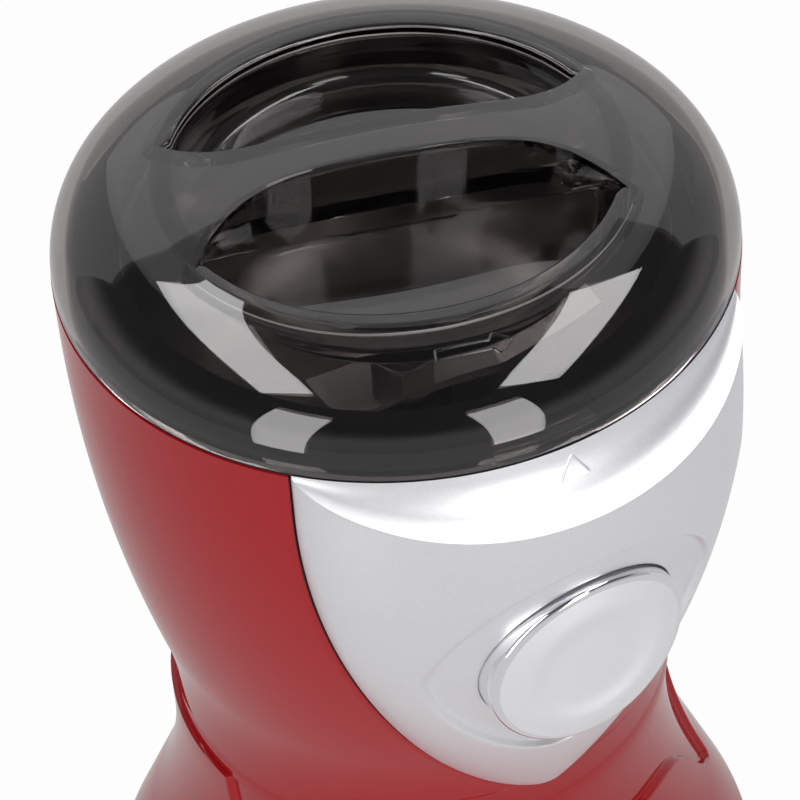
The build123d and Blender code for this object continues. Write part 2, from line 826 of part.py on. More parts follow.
with BuildPart() as interlock_ring:
    ring(ring_inner, ring_outer, ring_low, ring_high)
    ring_sector(
        ring_inner - 1,
        ring_outer + 1,
        tab_low - seat_gap,
        ring_high + 1,
        tab_bearing,
        tab_width + 0.8,
        Mode.SUBTRACT,
    )
    cam_sections = []
    for step in range(cam_steps + 1):
        share = step / cam_steps
        out_x, out_y = at_bearing(1, cam_start - lock_angle * share)
        low = ring_low - cam_depth * share
        with BuildSketch(Plane((0, 0, 0), x_dir=(out_x, out_y, 0), z_dir=(out_y, -out_x, 0))) as cut:
            with Locations((ring_middle, (low + ring_low + 0.6) / 2)):
                Rectangle(cam_outer - cam_inner, ring_low + 0.6 - low)
        cam_sections.append(cut.sketch)
    loft(cam_sections, ruled=True)
    ring_sector(cam_inner, cam_outer, ring_low - cam_depth, ring_low + 0.6, cam_end - 1.9, 4)
finish(interlock_ring, "interlock_ring")

pin_top = ring_low - 0.1
pin_low = micro_high - 0.5
pin_collar_low = pin_top - 2.1

with BuildPart() as interlock_pin:
    upright(pin_radius, pin_low, pin_top, pin_place)
    upright(pin_collar, pin_collar_low, pin_collar_low + 1, pin_place)
finish(interlock_pin, "interlock_pin")

with BuildPart() as interlock_spring:
    with Locations((*pin_place[0], micro_high + 0.05)):
        add(coil_spring(1.8, 0.4, pin_collar_low - micro_high - 0.1, 4))
finish(interlock_spring, "interlock_spring")

with BuildPart() as interlock_switch:
    turned_block(pin_bearing, micro_inner, micro_outer, micro_half, micro_low, micro_high)
    upright(pin_radius + 0.1, pin_low - cam_depth - 0.2, micro_high + 1, pin_place, Mode.SUBTRACT)
finish(interlock_switch, "interlock_switch")

# ================================================================ bowl, seal and blade
corner_r = bowl_radius - bowl_corner
corner_z = bowl_floor + bowl_corner
seal_neck = 5.3
seal_lip = 7.5

with BuildPart() as bowl:
    with BuildSketch(Plane.XZ):
        with BuildLine():
            Polyline((seal_neck, bowl_under), (corner_r, bowl_under))
            CenterArc((corner_r, corner_z), bowl_corner + bowl_wall, 270, 90)
            Polyline(
                (bowl_outer, corner_z),
                (bowl_outer, bowl_rim - bowl_wall),
                (bowl_flange, bowl_rim - bowl_wall),
                (bowl_flange, bowl_rim),
                (bowl_radius, bowl_rim),
                (bowl_radius, corner_z),
            )
            CenterArc((corner_r, corner_z), bowl_corner, 270, 90)
            Polyline((corner_r, bowl_floor), (seal_neck, bowl_floor), (seal_neck, bowl_under))
        make_face()
    revolve(axis=Axis.Z)
finish(bowl, "bowl")

with BuildPart() as shaft_seal:
    upright(seal_lip, bowl_under - 1.4, bowl_under)
    upright(seal_neck, bowl_under, bowl_floor)
    upright(seal_lip, bowl_floor, bowl_floor + 1.2)
    upright(shaft_radius + shaft_gap, bowl_under - 2, bowl_floor + 2, mode=Mode.SUBTRACT)
finish(shaft_seal, "shaft_seal")

blade_bend = 14.0
blade_lift = 18.0
tip_rise = (blade_span - blade_bend) * sin(radians(blade_lift))
tip_run = blade_bend + (blade_span - blade_bend) * cos(radians(blade_lift))

with BuildPart() as blade:
    with BuildSketch(Plane.XZ):
        with BuildLine():
            Polyline(
                (-tip_run, blade_height + tip_rise),
                (-blade_bend, blade_height),
                (blade_bend, blade_height),
                (tip_run, blade_height + tip_rise),
                (tip_run, blade_height + tip_rise + blade_thick),
                (blade_bend, blade_height + blade_thick),
                (-blade_bend, blade_height + blade_thick),
                (-tip_run, blade_height + tip_rise + blade_thick),
                close=True,
            )
        make_face()
    extrude(amount=10, both=True)
    with BuildSketch(Plane.XY.offset(blade_height - 1)):
        with BuildLine():
            half = blade_width / 2
            lead = Spline((-half, -half + 1), (8, -half + 0.6), (20, -half - 1.6), (tip_run, -8.5))
            Line(lead @ 1, (tip_run, 0))
            trail = Spline((tip_run, 0), (22, 2.4), (10, half - 0.4), (half, half - 1))
            back = Spline((half, half - 1), (-8, half - 0.6), (-20, half + 1.6), (-tip_run, 8.5))
            Line(back @ 1, (-tip_run, 0))
            Spline((-tip_run, 0), (-22, -2.4), (-10, -half + 0.4), (-half, -half + 1))
        make_face()
    extrude(amount=12, mode=Mode.INTERSECT)
    upright(shaft_radius + 0.02, blade_height - 1, blade_height + 3, mode=Mode.SUBTRACT)
finish(blade, "blade")

nut_low = blade_height + blade_thick
with BuildPart() as blade_nut:
    with BuildSketch(Plane.XY.offset(nut_low)):
        RegularPolygon(5.6, 6)
    extrude(amount=4)
    with BuildSketch(Plane.XY.offset(nut_low + 4)):
        Circle(4.6)
    extrude(amount=1.6, taper=30)
    upright(shaft_radius + 0.02, nut_low, nut_low + 4, mode=Mode.SUBTRACT)
finish(blade_nut, "blade_nut")

# ================================================================ chassis
mount_places = [(x, y) for x in (-mount_x, mount_x) for y in (-mount_y, mount_y)]
chassis_places = [at_bearing(chassis_screw_circle, bearing) for bearing in chassis_bearings]
chassis_radius = shell_radius_at(chassis_low) - shell_wall - chassis_gap
prop_radius = 26.0  # ring wall under the bowl
prop_wall = 2.0

with BuildPart() as chassis_plate:
    upright(chassis_radius, chassis_low, chassis_high)
    ring(prop_radius - prop_wall, prop_radius, chassis_high, bowl_under - chassis_gap)
    upright(9, chassis_low, chassis_high, mode=Mode.SUBTRACT)
    slab(-22, 22, -50, -guide_floor_back + 1.8, chassis_low, chassis_high, Mode.SUBTRACT)
    slab(
        -switch_half - 0.6,
        switch_half + 0.6,
        -prop_radius - 2,
        -prop_radius + 8,
        chassis_high,
        bowl_floor,
        Mode.SUBTRACT,
    )
    upright(
        screw_radius + pilot_gap, chassis_low, chassis_high, chassis_places + mount_places, Mode.SUBTRACT
    )
finish(chassis_plate, "chassis_plate")

with BuildPart() as chassis_screws:
    for x, y in chassis_places:
        with Locations(Plane((x, y, chassis_high), z_dir=(0, 0, -1))):
            add(pan_screw(9.6))
finish(chassis_screws, "chassis_screws")

with BuildPart() as mount_screws:
    for x, y in mount_places:
        with Locations(Plane((x, y, chassis_high), z_dir=(0, 0, -1))):
            add(pan_screw(chassis_high - bracket_high + 0.8))
finish(mount_screws, "mount_screws")

with BuildPart() as motor_mounts:
    upright(mount_radius, bracket_top, chassis_low, mount_places)
    upright(screw_radius + pilot_gap, bracket_top, chassis_low, mount_places, Mode.SUBTRACT)
finish(motor_mounts, "motor_mounts")

# ================================================================ motor frame
bolt_places = [(0, bolt_y), (0, -bolt_y)]
leg_half = 8.0
leg_inner = 17.8
leg_outer = stator_y / 2
seat_radius = bearing_radius + shaft_gap
cup_radius = bearing_radius + bearing_wall
lip_radius = 7.2

with BuildPart() as upper_bracket:
    with BuildSketch(Plane.XY.offset(bracket_high)):
        RectangleRounded(2 * (mount_x + 6), stator_y, 6)
    extrude(amount=bracket_thick)
    for side in (1, -1):
        slab(
            -leg_half, leg_half, *sorted((side * leg_inner, side * leg_outer)), stator_high, bracket_high
        )
    upright(cup_radius, upper_seat - cup_wall, bracket_top)
    upright(seat_radius, upper_seat, bracket_top, mode=Mode.SUBTRACT)
    upright(lip_radius, upper_seat - cup_wall, upper_seat, mode=Mode.SUBTRACT)
    upright(bolt_radius + pilot_gap, stator_high, bracket_top, bolt_places, Mode.SUBTRACT)
    upright(screw_radius + pilot_gap, bracket_high, bracket_top, mount_places, Mode.SUBTRACT)
finish(upper_bracket, "upper_bracket")

with BuildPart() as upper_bearing:
    add(bearing_part(upper_seat))
finish(upper_bearing, "upper_bearing")

with BuildPart() as lower_bearing:
    add(bearing_part(lower_seat))
finish(lower_bearing, "lower_bearing")

slot_gap = 0.3
with BuildPart() as stator_core:
    with BuildSketch(Plane.XY.offset(stator_low)):
        RectangleRounded(stator_x, stator_y, 6)
        Circle(stator_bore, mode=Mode.SUBTRACT)
        for side in (1, -1):
            with Locations(
                (side * (coil_inner_x + coil_outer_x) / 2, (coil_inner_y + coil_outer_y) / 2),
                (side * (coil_inner_x + coil_outer_x) / 2, -(coil_inner_y + coil_outer_y) / 2),
            ):
                Rectangle(
                    coil_outer_x - coil_inner_x + 2 * slot_gap,
                    coil_outer_y - coil_inner_y + 2 * slot_gap,
                    mode=Mode.SUBTRACT,
                )
        with Locations(*bolt_places):
            Circle(bolt_radius + pilot_gap, mode=Mode.SUBTRACT)
    extrude(amount=stator_high - stator_low)
finish(stator_core, "stator_core")

coil_middle = (stator_low + stator_high) / 2
coil_tall = stator_high - stator_low + 2 * coil_overhang
with BuildPart() as field_coils:
    for start in (coil_inner_x, -coil_outer_x):
        with BuildSketch(Plane((start, 0, coil_middle), x_dir=(0, 1, 0), z_dir=(1, 0, 0))):
            RectangleRounded(2 * coil_outer_y, coil_tall, 4)
            Rectangle(
                2 * coil_inner_y, stator_high - stator_low + 2 * slot_gap, mode=Mode.SUBTRACT
            )
        extrude(amount=coil_outer_x - coil_inner_x)
finish(field_coils, "field_coils")

bolt_head = 2.0
with BuildPart() as motor_bolts:
    for x, y in bolt_places:
        with Locations((x, y, lower_bracket)):
            add(pan_screw(bracket_top - lower_bracket - 0.5, bolt_radius, 3.0, bolt_head))
finish(motor_bolts, "motor_bolts")

holder_front = 13.0
holder_back = holder_front + holder_length - 1.0
holder_cap = 1.0
pedestal_top = brush_height - brush_tall / 2 - holder_wall
brush_start = commutator_radius + seat_gap

with BuildPart() as lower_bracket_plate:
    upright(27, lower_bracket, lower_bracket_high)
    upright(cup_radius, lower_seat - cup_wall, lower_bracket_high)
    for side in (1, -1):
        slab(
            -leg_half,
            leg_half,
            *sorted((side * leg_inner, side * leg_outer)),
            lower_bracket_high,
            stator_low,
        )
        slab(
            *sorted((side * (holder_front + 1), side * (holder_back - 1))),
            -brush_width / 2 - holder_wall,
            brush_width / 2 + holder_wall,
            lower_bracket_high,
            pedestal_top,
        )
    upright(seat_radius, lower_seat, lower_bracket_high, mode=Mode.SUBTRACT)
    upright(lip_radius, lower_seat - cup_wall, lower_seat, mode=Mode.SUBTRACT)
    upright(bolt_radius + pilot_gap, lower_bracket, stator_low, bolt_places, Mode.SUBTRACT)
    for bearing in (48, 132, 228, 312):
        ring_sector(14.5, 23.5, lower_bracket, lower_bracket_high, bearing, 30, Mode.SUBTRACT)
finish(lower_bracket_plate, "lower_bracket")

with BuildPart() as brush_holders:
    for side in (1, -1):
        slab(
            *sorted((side * holder_front, side * holder_back)),
            -brush_width / 2 - holder_wall,
            brush_width / 2 + holder_wall,
            pedestal_top,
            pedestal_top + brush_tall + 2 * holder_wall,
        )
        slab(
            *sorted((side * holder_front, side * (holder_back - holder_cap))),
            -brush_width / 2 - shaft_gap,
            brush_width / 2 + shaft_gap,
            brush_height - brush_tall / 2 - shaft_gap,
            brush_height + brush_tall / 2 + shaft_gap,
            Mode.SUBTRACT,
        )
finish(brush_holders, "brush_holders")

with BuildPart() as carbon_brushes:
    for side in (1, -1):
        slab(
            *sorted((side * brush_start, side * (brush_start + brush_length))),
            -brush_width / 2,
            brush_width / 2,
            brush_height - brush_tall / 2,
            brush_height + brush_tall / 2,
        )
finish(carbon_brushes, "carbon_brushes")

brush_end = brush_start + brush_length
with BuildPart() as brush_springs:
    for side in (1, -1):
        with Locations(Plane((side * (brush_end + 0.05), 0, brush_height), z_dir=(side, 0, 0))):
            add(coil_spring(2.2, 0.5, holder_back - holder_cap - brush_end - 0.1, 4))
finish(brush_springs, "brush_springs")

# ================================================================ rotor
hub_gap = 0.02
spacer_low = bowl_floor + 1.8

with BuildPart() as motor_shaft:
    upright(shaft_radius, shaft_low, nut_low + 3.6)
    upright(5, spacer_low, blade_height)
finish(motor_shaft, "motor_shaft")

slot_count = 12
slot_width = 2.6
slot_inner = 9.0
slot_outer = 14.6
with BuildPart() as armature_core:
    with BuildSketch(Plane.XY.offset(stator_low)):
        Circle(armature_radius)
        Circle(shaft_radius + hub_gap, mode=Mode.SUBTRACT)
        for index in range(slot_count):
            turn = index * 360 / slot_count
            with Locations(Location((0, 0, 0), (0, 0, turn))):
                with Locations(((slot_inner + slot_outer) / 2, 0)):
                    Rectangle(slot_outer - slot_inner, slot_width, mode=Mode.SUBTRACT)
                with Locations((armature_radius, 0)):
                    Rectangle(2 * (armature_radius - slot_outer) + 0.2, 1.2, mode=Mode.SUBTRACT)
    extrude(amount=stator_high - stator_low)
finish(armature_core, "armature_core")

winding_inner = 4.5
winding_outer = 15.4
with BuildPart() as armature_winding:
    for low in (stator_low - winding_high, stator_high):
        with BuildSketch(Plane.XZ):
            with Locations(((winding_inner + winding_outer) / 2, low + winding_high / 2)):
                RectangleRounded(winding_outer - winding_inner, winding_high, 2.4)
        revolve(axis=Axis.Z)
    for index in range(slot_count):
        turn = index * 360 / slot_count
        with BuildSketch(Plane.XY.offset(stator_low - 3).rotated((0, 0, turn))):
            with Locations(((slot_inner + slot_outer) / 2, 0)):
                Rectangle(slot_outer - slot_inner - 2 * hub_gap, slot_width - 2 * hub_gap)
        extrude(amount=stator_high - stator_low + 6)
finish(armature_winding, "armature_winding")

segment_count = 24
with BuildPart() as commutator:
    upright(commutator_radius, commutator_low, commutator_high)
    upright(10.8, commutator_high - 1.6, commutator_high)
    upright(shaft_radius + hub_gap, commutator_low, commutator_high, mode=Mode.SUBTRACT)
    for index in range(segment_count):
        turned_block(
            index * 360 / segment_count,
            commutator_radius - 0.8,
            12,
            0.2,
            commutator_low,
            commutator_high,
            Mode.SUBTRACT,
        )
finish(commutator, "commutator")

with BuildPart() as cooling_fan:
    upright(6, fan_low, fan_high)
    upright(fan_radius, fan_high - 1.5, fan_high)
    for index in range(fan_blades):
        turned_block(index * 360 / fan_blades, 5, fan_radius - 0.5, 0.7, fan_low, fan_high - 1)
    upright(shaft_radius + hub_gap, fan_low, fan_high, mode=Mode.SUBTRACT)
finish(cooling_fan, "cooling_fan")

# ================================================================ base
rear_edge = [(11.6, seam_height + 2), (11.6, seam_height), (-16.7, 32), (-21.1, 27), (-28.1, 2)]
arch_half = [(24.8, 49.5), (31.2, 45.5), (35.2, 40), (39.4, 32.4), (42.2, 27), (52.0, 2)]
boss_wall = skirt_radius_at(boss_top)
base_screw_circle = boss_wall - skirt_wall - boss_radius + boss_sunk
gland_outer = skirt_radius_at(inlet_height) + gland_proud
gland_inner = skirt_radius_at(inlet_height) - gland_deep
plate_radius = skirt_radius_at(plate_high) - skirt_wall - plate_gap

with BuildPart() as raised_rear:
    add(skirt_form(-raised_step, skirt_foot, skirt_top))
    with BuildSketch(Plane.YZ):
        with BuildLine():
            Polyline(*rear_edge, (70, 2), (70, seam_height + 2), close=True)
        make_face()
    extrude(amount=70, both=True, mode=Mode.INTERSECT)

with BuildPart() as raised_arch:
    add(skirt_form(-raised_step, skirt_foot, skirt_top))
    with BuildSketch(Plane.XZ):
        with BuildLine():
            left = Spline(*[(-x, z) for x, z in arch_half], tangents=[(-1, 0), (-0.38, -0.92)])
            right = Spline(*arch_half, tangents=[(1, 0), (0.38, -0.92)])
            Line(left @ 0, right @ 0)
            Line(left @ 1, right @ 1)
        make_face()
    extrude(amount=70, mode=Mode.INTERSECT)

base_screw_places = [at_bearing(base_screw_circle, bearing) for bearing in base_screw_bearings]

with BuildPart() as inlet_pad:
    slab(
        -pad_half,
        pad_half,
        gland_inner,
        foot_radius,
        inlet_height - pad_below,
        inlet_height + pad_above,
    )
    add(skirt_form(0, skirt_foot, skirt_top), mode=Mode.INTERSECT)

with BuildPart() as base_skirt:
    add(skirt_form(0, skirt_foot, skirt_top))
    add(raised_rear.part)
    add(raised_arch.part)
    add(skirt_form(skirt_wall, skirt_foot, seam_height - 4), mode=Mode.SUBTRACT)
    upright(spigot_radius - spigot_wall, seam_height - 5, seam_height, mode=Mode.SUBTRACT)
    ring(spigot_radius - spigot_wall, spigot_radius, seam_height - 4, spigot_high)
    for bearing in barb_bearings:
        ring_sector(
            spigot_radius - 0.5,
            spigot_radius + barb_out,
            barb_height,
            barb_height + barb_tall,
            bearing,
            12,
        )
    upright(boss_radius, plate_high + seat_gap, boss_top, base_screw_places)
    for bearing in base_screw_bearings:
        ring_sector(base_screw_circle, boss_wall - 0.9, plate_high + seat_gap, boss_top, bearing, 3)
    add(inlet_pad.part)
    upright(screw_radius + pilot_gap, plate_high, boss_top - 2, base_screw_places, Mode.SUBTRACT)
    level(gland_radius + pilot_gap, -gland_outer - 2, -gland_inner + 5, [(0, inlet_height)], Mode.SUBTRACT)
finish(base_skirt, "base_skirt")

with BuildPart() as cord_gland:
    level(gland_radius, -gland_outer, -gland_inner, [(0, inlet_height)])
    level(gland_radius + 1.4, -gland_inner, -gland_inner + 1.6, [(0, inlet_height)])
    level(inlet_radius, -gland_outer - 1, -gland_inner + 3, [(0, inlet_height)], Mode.SUBTRACT)
finish(cord_gland, "cord_gland")

foot_places = [
    at_bearing(foot_circle, foot_bearing + quarter * 90) for quarter in range(4)
]
peg_radius = 2.5
with BuildPart() as base_plate:
    upright(plate_radius, plate_low, plate_high)
    for bearing in range(0, 360, 60):
        ring_sector(12, 18, plate_low, plate_high, bearing, 44, Mode.SUBTRACT)
        ring_sector(22, 28, plate_low, plate_high, bearing + 30, 46, Mode.SUBTRACT)
    upright(peg_radius + pilot_gap, plate_low, plate_high, foot_places, Mode.SUBTRACT)
    upright(screw_radius + pilot_gap, plate_low, plate_high, base_screw_places, Mode.SUBTRACT)
finish(base_plate, "base_plate")

with BuildPart() as rubber_feet:
    upright(foot_size, 0, foot_height, foot_places)
    chamfer(rubber_feet.edges().group_by(Axis.Z)[0], 0.6)
    upright(peg_radius, foot_height, plate_high, foot_places)
    upright(peg_radius + 0.7, plate_high, plate_high + 0.8, foot_places)
finish(rubber_feet, "rubber_feet")

with BuildPart() as base_screws:
    for x, y in base_screw_places:
        with Locations((x, y, plate_low)):
            add(pan_screw(10))
finish(base_screws, "base_screws")

with BuildPart() as suppressor_capacitor:
    slab(
        -fan_radius - 14,
        -fan_radius - 1,
        -16,
        6,
        plate_high,
        17,
    )
finish(suppressor_capacitor, "suppressor_capacitor")
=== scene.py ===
"""Looks of an electric spice grinder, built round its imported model.

Lengths in the classes are millimetres, measured from the table under the motor's
axis, with the push button towards -Y. Meshes are written in metres.
"""

import json
import logging
import math
from dataclasses import dataclass, field
from enum import Enum
from typing import Iterable, Sequence

import bmesh
import bpy
import numpy as np
from mathutils import Matrix, Vector


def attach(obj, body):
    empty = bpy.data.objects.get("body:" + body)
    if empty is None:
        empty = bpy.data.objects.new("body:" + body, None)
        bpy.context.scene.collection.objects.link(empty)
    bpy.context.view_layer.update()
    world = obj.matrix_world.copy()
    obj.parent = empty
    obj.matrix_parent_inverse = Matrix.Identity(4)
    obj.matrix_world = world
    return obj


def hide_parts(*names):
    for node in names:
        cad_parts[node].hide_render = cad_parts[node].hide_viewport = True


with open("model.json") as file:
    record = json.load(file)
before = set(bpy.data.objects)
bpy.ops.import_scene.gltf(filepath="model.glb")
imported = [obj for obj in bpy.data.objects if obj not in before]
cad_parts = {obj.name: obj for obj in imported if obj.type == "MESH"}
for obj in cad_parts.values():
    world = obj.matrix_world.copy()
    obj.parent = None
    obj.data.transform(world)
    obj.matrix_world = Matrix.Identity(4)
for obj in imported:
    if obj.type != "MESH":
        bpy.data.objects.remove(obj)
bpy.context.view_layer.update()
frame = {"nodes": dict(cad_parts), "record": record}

LOG = logging.getLogger("spice_grinder")
MM = 0.001
Points = np.ndarray


# --------------------------------------------------------------------------- curves
def around(radius: np.ndarray, bearing: np.ndarray, height: np.ndarray) -> Points:
    """Points at radii and heights, at bearings from the front that grow towards +X."""
    radius, bearing, height = np.broadcast_arrays(radius, bearing, height)
    return np.stack([radius * np.sin(bearing), -radius * np.cos(bearing), height], axis=-1)


def hermite(t: np.ndarray, start: Points, leave: Points, end: Points, arrive: Points) -> Points:
    """Cubic from start to end as t runs from 0 to 1, with its tangent at either end.

    Args:
        t: Shares of the way, from 0 to 1.
        start: Points where it starts.
        leave: Tangents at the start.
        end: Points where it ends.
        arrive: Tangents at the end.

    Returns:
        Array of points.
    """
    return (
        (2 * t**3 - 3 * t**2 + 1) * start
        + (t**3 - 2 * t**2 + t) * leave
        + (3 * t**2 - 2 * t**3) * end
        + (t**3 - t**2) * arrive
    )


def smooth_step(share: np.ndarray) -> np.ndarray:
    """Rises from 0 to 1 level at both ends: 3t squared less 2t cubed."""
    return share * share * (3 - 2 * share)


def chord_lengths(points: Points) -> np.ndarray:
    """Running chord length along a row of points, starting at 0."""
    steps = np.linalg.norm(np.diff(points, axis=0), axis=1)
    return np.concatenate(([0.0], np.cumsum(steps)))


def smooth_curve(
    points: Sequence[Sequence[float]],
    start: Sequence[float],
    end: Sequence[float],
    count: int,
) -> Points:
    """Cubic curve with continuous curvature through points, with both end directions set.

    Each span is a Hermite cubic over chord length; the inner tangents come from the
    tridiagonal system that makes neighbouring second derivatives equal.

    Args:
        points: Points in order.
        start: Unit direction at the first point.
        end: Unit direction at the last point.
        count: How many points to return, evenly spaced in chord length.

    Returns:
        Array of count points.
    """
    knots = np.asarray(points, float)
    length = chord_lengths(knots)
    gaps = np.diff(length)
    size = len(knots)
    matrix = np.eye(size)
    right = np.zeros_like(knots)
    right[0], right[-1] = start, end
    slopes = np.diff(knots, axis=0) / gaps[:, None]
    rows = np.arange(1, size - 1)
    matrix[rows, rows - 1] = gaps[1:]
    matrix[rows, rows] = 2 * (gaps[:-1] + gaps[1:])
    matrix[rows, rows + 1] = gaps[:-1]
    right[1:-1] = 3 * (gaps[1:, None] * slopes[:-1] + gaps[:-1, None] * slopes[1:])
    tangents = np.linalg.solve(matrix, right)
    at = np.linspace(0, length[-1], count)
    span = np.clip(np.searchsorted(length, at, side="right") - 1, 0, size - 2)
    step = gaps[span][:, None]
    t = (at - length[span])[:, None] / step
    return hermite(
        t, knots[span], step * tangents[span], knots[span + 1], step * tangents[span + 1]
    )


def evenly(points: Points, count: int, closed: bool = False) -> Points:
    """Points at even lengths along a row of points; a closed row drops the repeated end.

    Args:
        points: Row of points.
        count: How many points to return.
        closed: Whether the row is a loop, given without its first point again.

    Returns:
        Array of count points.
    """
    row = np.vstack([points, points[:1]]) if closed else points
    length = chord_lengths(row)
    at = np.linspace(0, length[-1], count + closed)[:count]
    return np.column_stack([np.interp(at, length, row[:, k]) for k in range(row.shape[1])])


def soften_loop(points: Points, reach: float) -> Points:
    """Rounds a closed loop's corners: a Gaussian average along its even lengths.

    Args:
        points: Loop of points at even lengths.
        reach: Standard deviation of the average, in millimetres.

    Returns:
        Loop with as many points.
    """
    size = len(points)
    length = np.linalg.norm(np.diff(np.vstack([points, points[:1]]), axis=0), axis=1).sum()
    waves = np.fft.fftfreq(size, d=length / size)
    filtered = np.fft.fft(points, axis=0) * np.exp(-2 * (math.pi * waves * reach) ** 2)[:, None]
    return np.real(np.fft.ifft(filtered, axis=0))


def loop_normals(points: Points) -> Points:
    """Outward unit normals of a closed counter-clockwise loop in plan.

    Args:
        points: Loop of (x, y).

    Returns:
        Unit vectors, one for each point.
    """
    along = np.roll(points, -1, axis=0) - np.roll(points, 1, axis=0)
    across = np.column_stack([along[:, 1], -along[:, 0]])
    return across / np.linalg.norm(across, axis=1)[:, None]


def quarter(count: int) -> tuple[np.ndarray, np.ndarray]:
    """Sine and one minus cosine over a quarter turn, for fillets."""
    angle = np.linspace(0, math.pi / 2, count)
    return np.sin(angle), 1 - np.cos(angle)


# --------------------------------------------------------------------------- meshes
@dataclass
class Patch:
    """Part of a surface: points in millimetres and the quads between them."""

    points: Points
    quads: np.ndarray

    @staticmethod
    def grid(points: Points, round_rows: bool = False, round_columns: bool = False) -> "Patch":
        """Patch over an array of rows and columns of points.

        Args:
            points: Array of shape (rows, columns, 3).
            round_rows: Join the last row to the first.
            round_columns: Join the last column to the first.

        Returns:
            The patch, its quads turning row by column.
        """
        rows, columns = points.shape[:2]
        index = np.arange(rows * columns).reshape(rows, columns)
        if round_rows:
            index = np.vstack([index, index[:1]])
        if round_columns:
            index = np.hstack([index, index[:, :1]])
        quads = np.stack([index[:-1, :-1], index[:-1, 1:], index[1:, 1:], index[1:, :-1]], axis=-1)
        return Patch(points.reshape(-1, 3), quads.reshape(-1, 4))

    @staticmethod
    def join(patches: Iterable["Patch"]) -> "Patch":
        """One patch of several, still unwelded.

        Args:
            patches: Patches in any order.

        Returns:
            Patch with all their points and quads.
        """
        parts = list(patches)
        starts = np.cumsum([0] + [len(part.points) for part in parts[:-1]])
        return Patch(
            np.vstack([part.points for part in parts]),
            np.vstack([part.quads + start for part, start in zip(parts, starts)]),
        )

    def flipped(self) -> "Patch":
        """The same patch seen from its other side."""
        return Patch(self.points, self.quads[:, ::-1])

    def turned(self, degrees: float) -> "Patch":
        """The patch turned about the upright axis.

        Args:
            degrees: Turn, counter-clockwise seen from above.

        Returns:
            The turned patch.
        """
        angle = math.radians(degrees)
        sine, cosine = math.sin(angle), math.cos(angle)
        spin = np.array([[cosine, sine, 0], [-sine, cosine, 0], [0, 0, 1]])
        return Patch(self.points @ spin, self.quads)


def revolve(profile: Points, count: int) -> Patch:
    """Surface of a closed profile carried round the upright axis.

    Args:
        profile: Rows of (radius, height).
        count: Points round the axis.

    Returns:
        Patch whose every row is one turn.
    """
    bearing = np.linspace(0, 2 * math.pi, count, endpoint=False)
    points = around(profile[:, :1], bearing, profile[:, 1:])
    return Patch.grid(points, round_rows=True, round_columns=True)


def rib(loop: Points, half_width: float) -> tuple[Points, np.ndarray]:
    """Half-round rib along a closed loop in plan.

    Args:
        loop: Loop of points at even lengths.
        half_width: Half the rib's width.

    Returns:
        Rows of plan points across the rib, and each row's share of its height.
    """
    sweep = np.linspace(0, math.pi, 7)
    across = (half_width * np.cos(sweep))[:, None, None]
    return loop[None] + loop_normals(loop)[None] * across, np.sin(sweep)[:, None]


def rounded_profile(corners: Sequence[Sequence[float]], radius: float, steps: int = 4) -> Points:
    """Closed profile with every corner cut by a parabola-like blend of a given size.

    Each corner becomes a quadratic Bezier between the points that lie radius before
    and after it on its two sides.

    Args:
        corners: Corners in order.
        radius: Distance from a corner to either end of its blend.
        steps: Spans in each blend.

    Returns:
        Loop of points.
    """
    point = np.asarray(corners, float)
    before, after = np.roll(point, 1, axis=0), np.roll(point, -1, axis=0)
    back, ahead = before - point, after - point
    back_len = np.linalg.norm(back, axis=1)[:, None]
    ahead_len = np.linalg.norm(ahead, axis=1)[:, None]
    enter = point + back / back_len * np.minimum(radius, back_len * 0.45)
    leave = point + ahead / ahead_len * np.minimum(radius, ahead_len * 0.45)
    t = np.linspace(0, 1, steps + 1)[None, :, None]
    blend = (1 - t) ** 2 * enter[:, None] + 2 * t * (1 - t) * point[:, None] + t**2 * leave[:, None]
    return blend.reshape(-1, 2)


class Skin(Enum):
    """Whether a piece is a closed skin, whose faces are turned outwards, or an open one."""

    CLOSED = "closed"
    OPEN = "open"


@dataclass
class Piece:
    """One finished object of the scene."""

    name: str
    patch: Patch
    finish: "Finish"
    body: str
    nodes: tuple[str, ...] = ()
    skin: Skin = Skin.CLOSED
    weld: float = 2e-6
    crisp: float = 40.0

    def make(self) -> bpy.types.Object:
        """Builds the mesh, dresses it and ties it to its body.

        Returns:
            The object, at the origin, with its place in its mesh.
        """
        mesh = bpy.data.meshes.new(self.name)
        mesh.vertices.add(len(self.patch.points))
        mesh.vertices.foreach_set("co", (self.patch.points * MM).ravel())
        count = len(self.patch.quads)
        mesh.loops.add(count * 4)
        mesh.loops.foreach_set("vertex_index", self.patch.quads.ravel().astype(np.int32))
        mesh.polygons.add(count)
        mesh.polygons.foreach_set("loop_start", np.arange(0, count * 4, 4, dtype=np.int32))
        mesh.update(calc_edges=True)
        mesh.validate()
        shell = bmesh.new()
        shell.from_mesh(mesh)
        bmesh.ops.remove_doubles(shell, verts=shell.verts, dist=self.weld)
        bmesh.ops.dissolve_degenerate(shell, edges=shell.edges, dist=self.weld / 20)
        if self.skin is Skin.CLOSED:
            bmesh.ops.recalc_face_normals(shell, faces=shell.faces)
        shell.to_mesh(mesh)
        shell.free()
        mesh.polygons.foreach_set("use_smooth", [True] * len(mesh.polygons))
        mesh.set_sharp_from_angle(angle=math.radians(self.crisp))
        piece = bpy.data.objects.new(self.name, mesh)
        bpy.context.scene.collection.objects.link(piece)
        piece.data.materials.append(self.finish.material())
        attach(piece, self.body)
        for node in self.nodes:
            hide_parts(node)
        LOG.info("%s: %d faces on %s", self.name, len(mesh.polygons), self.body)
        return piece


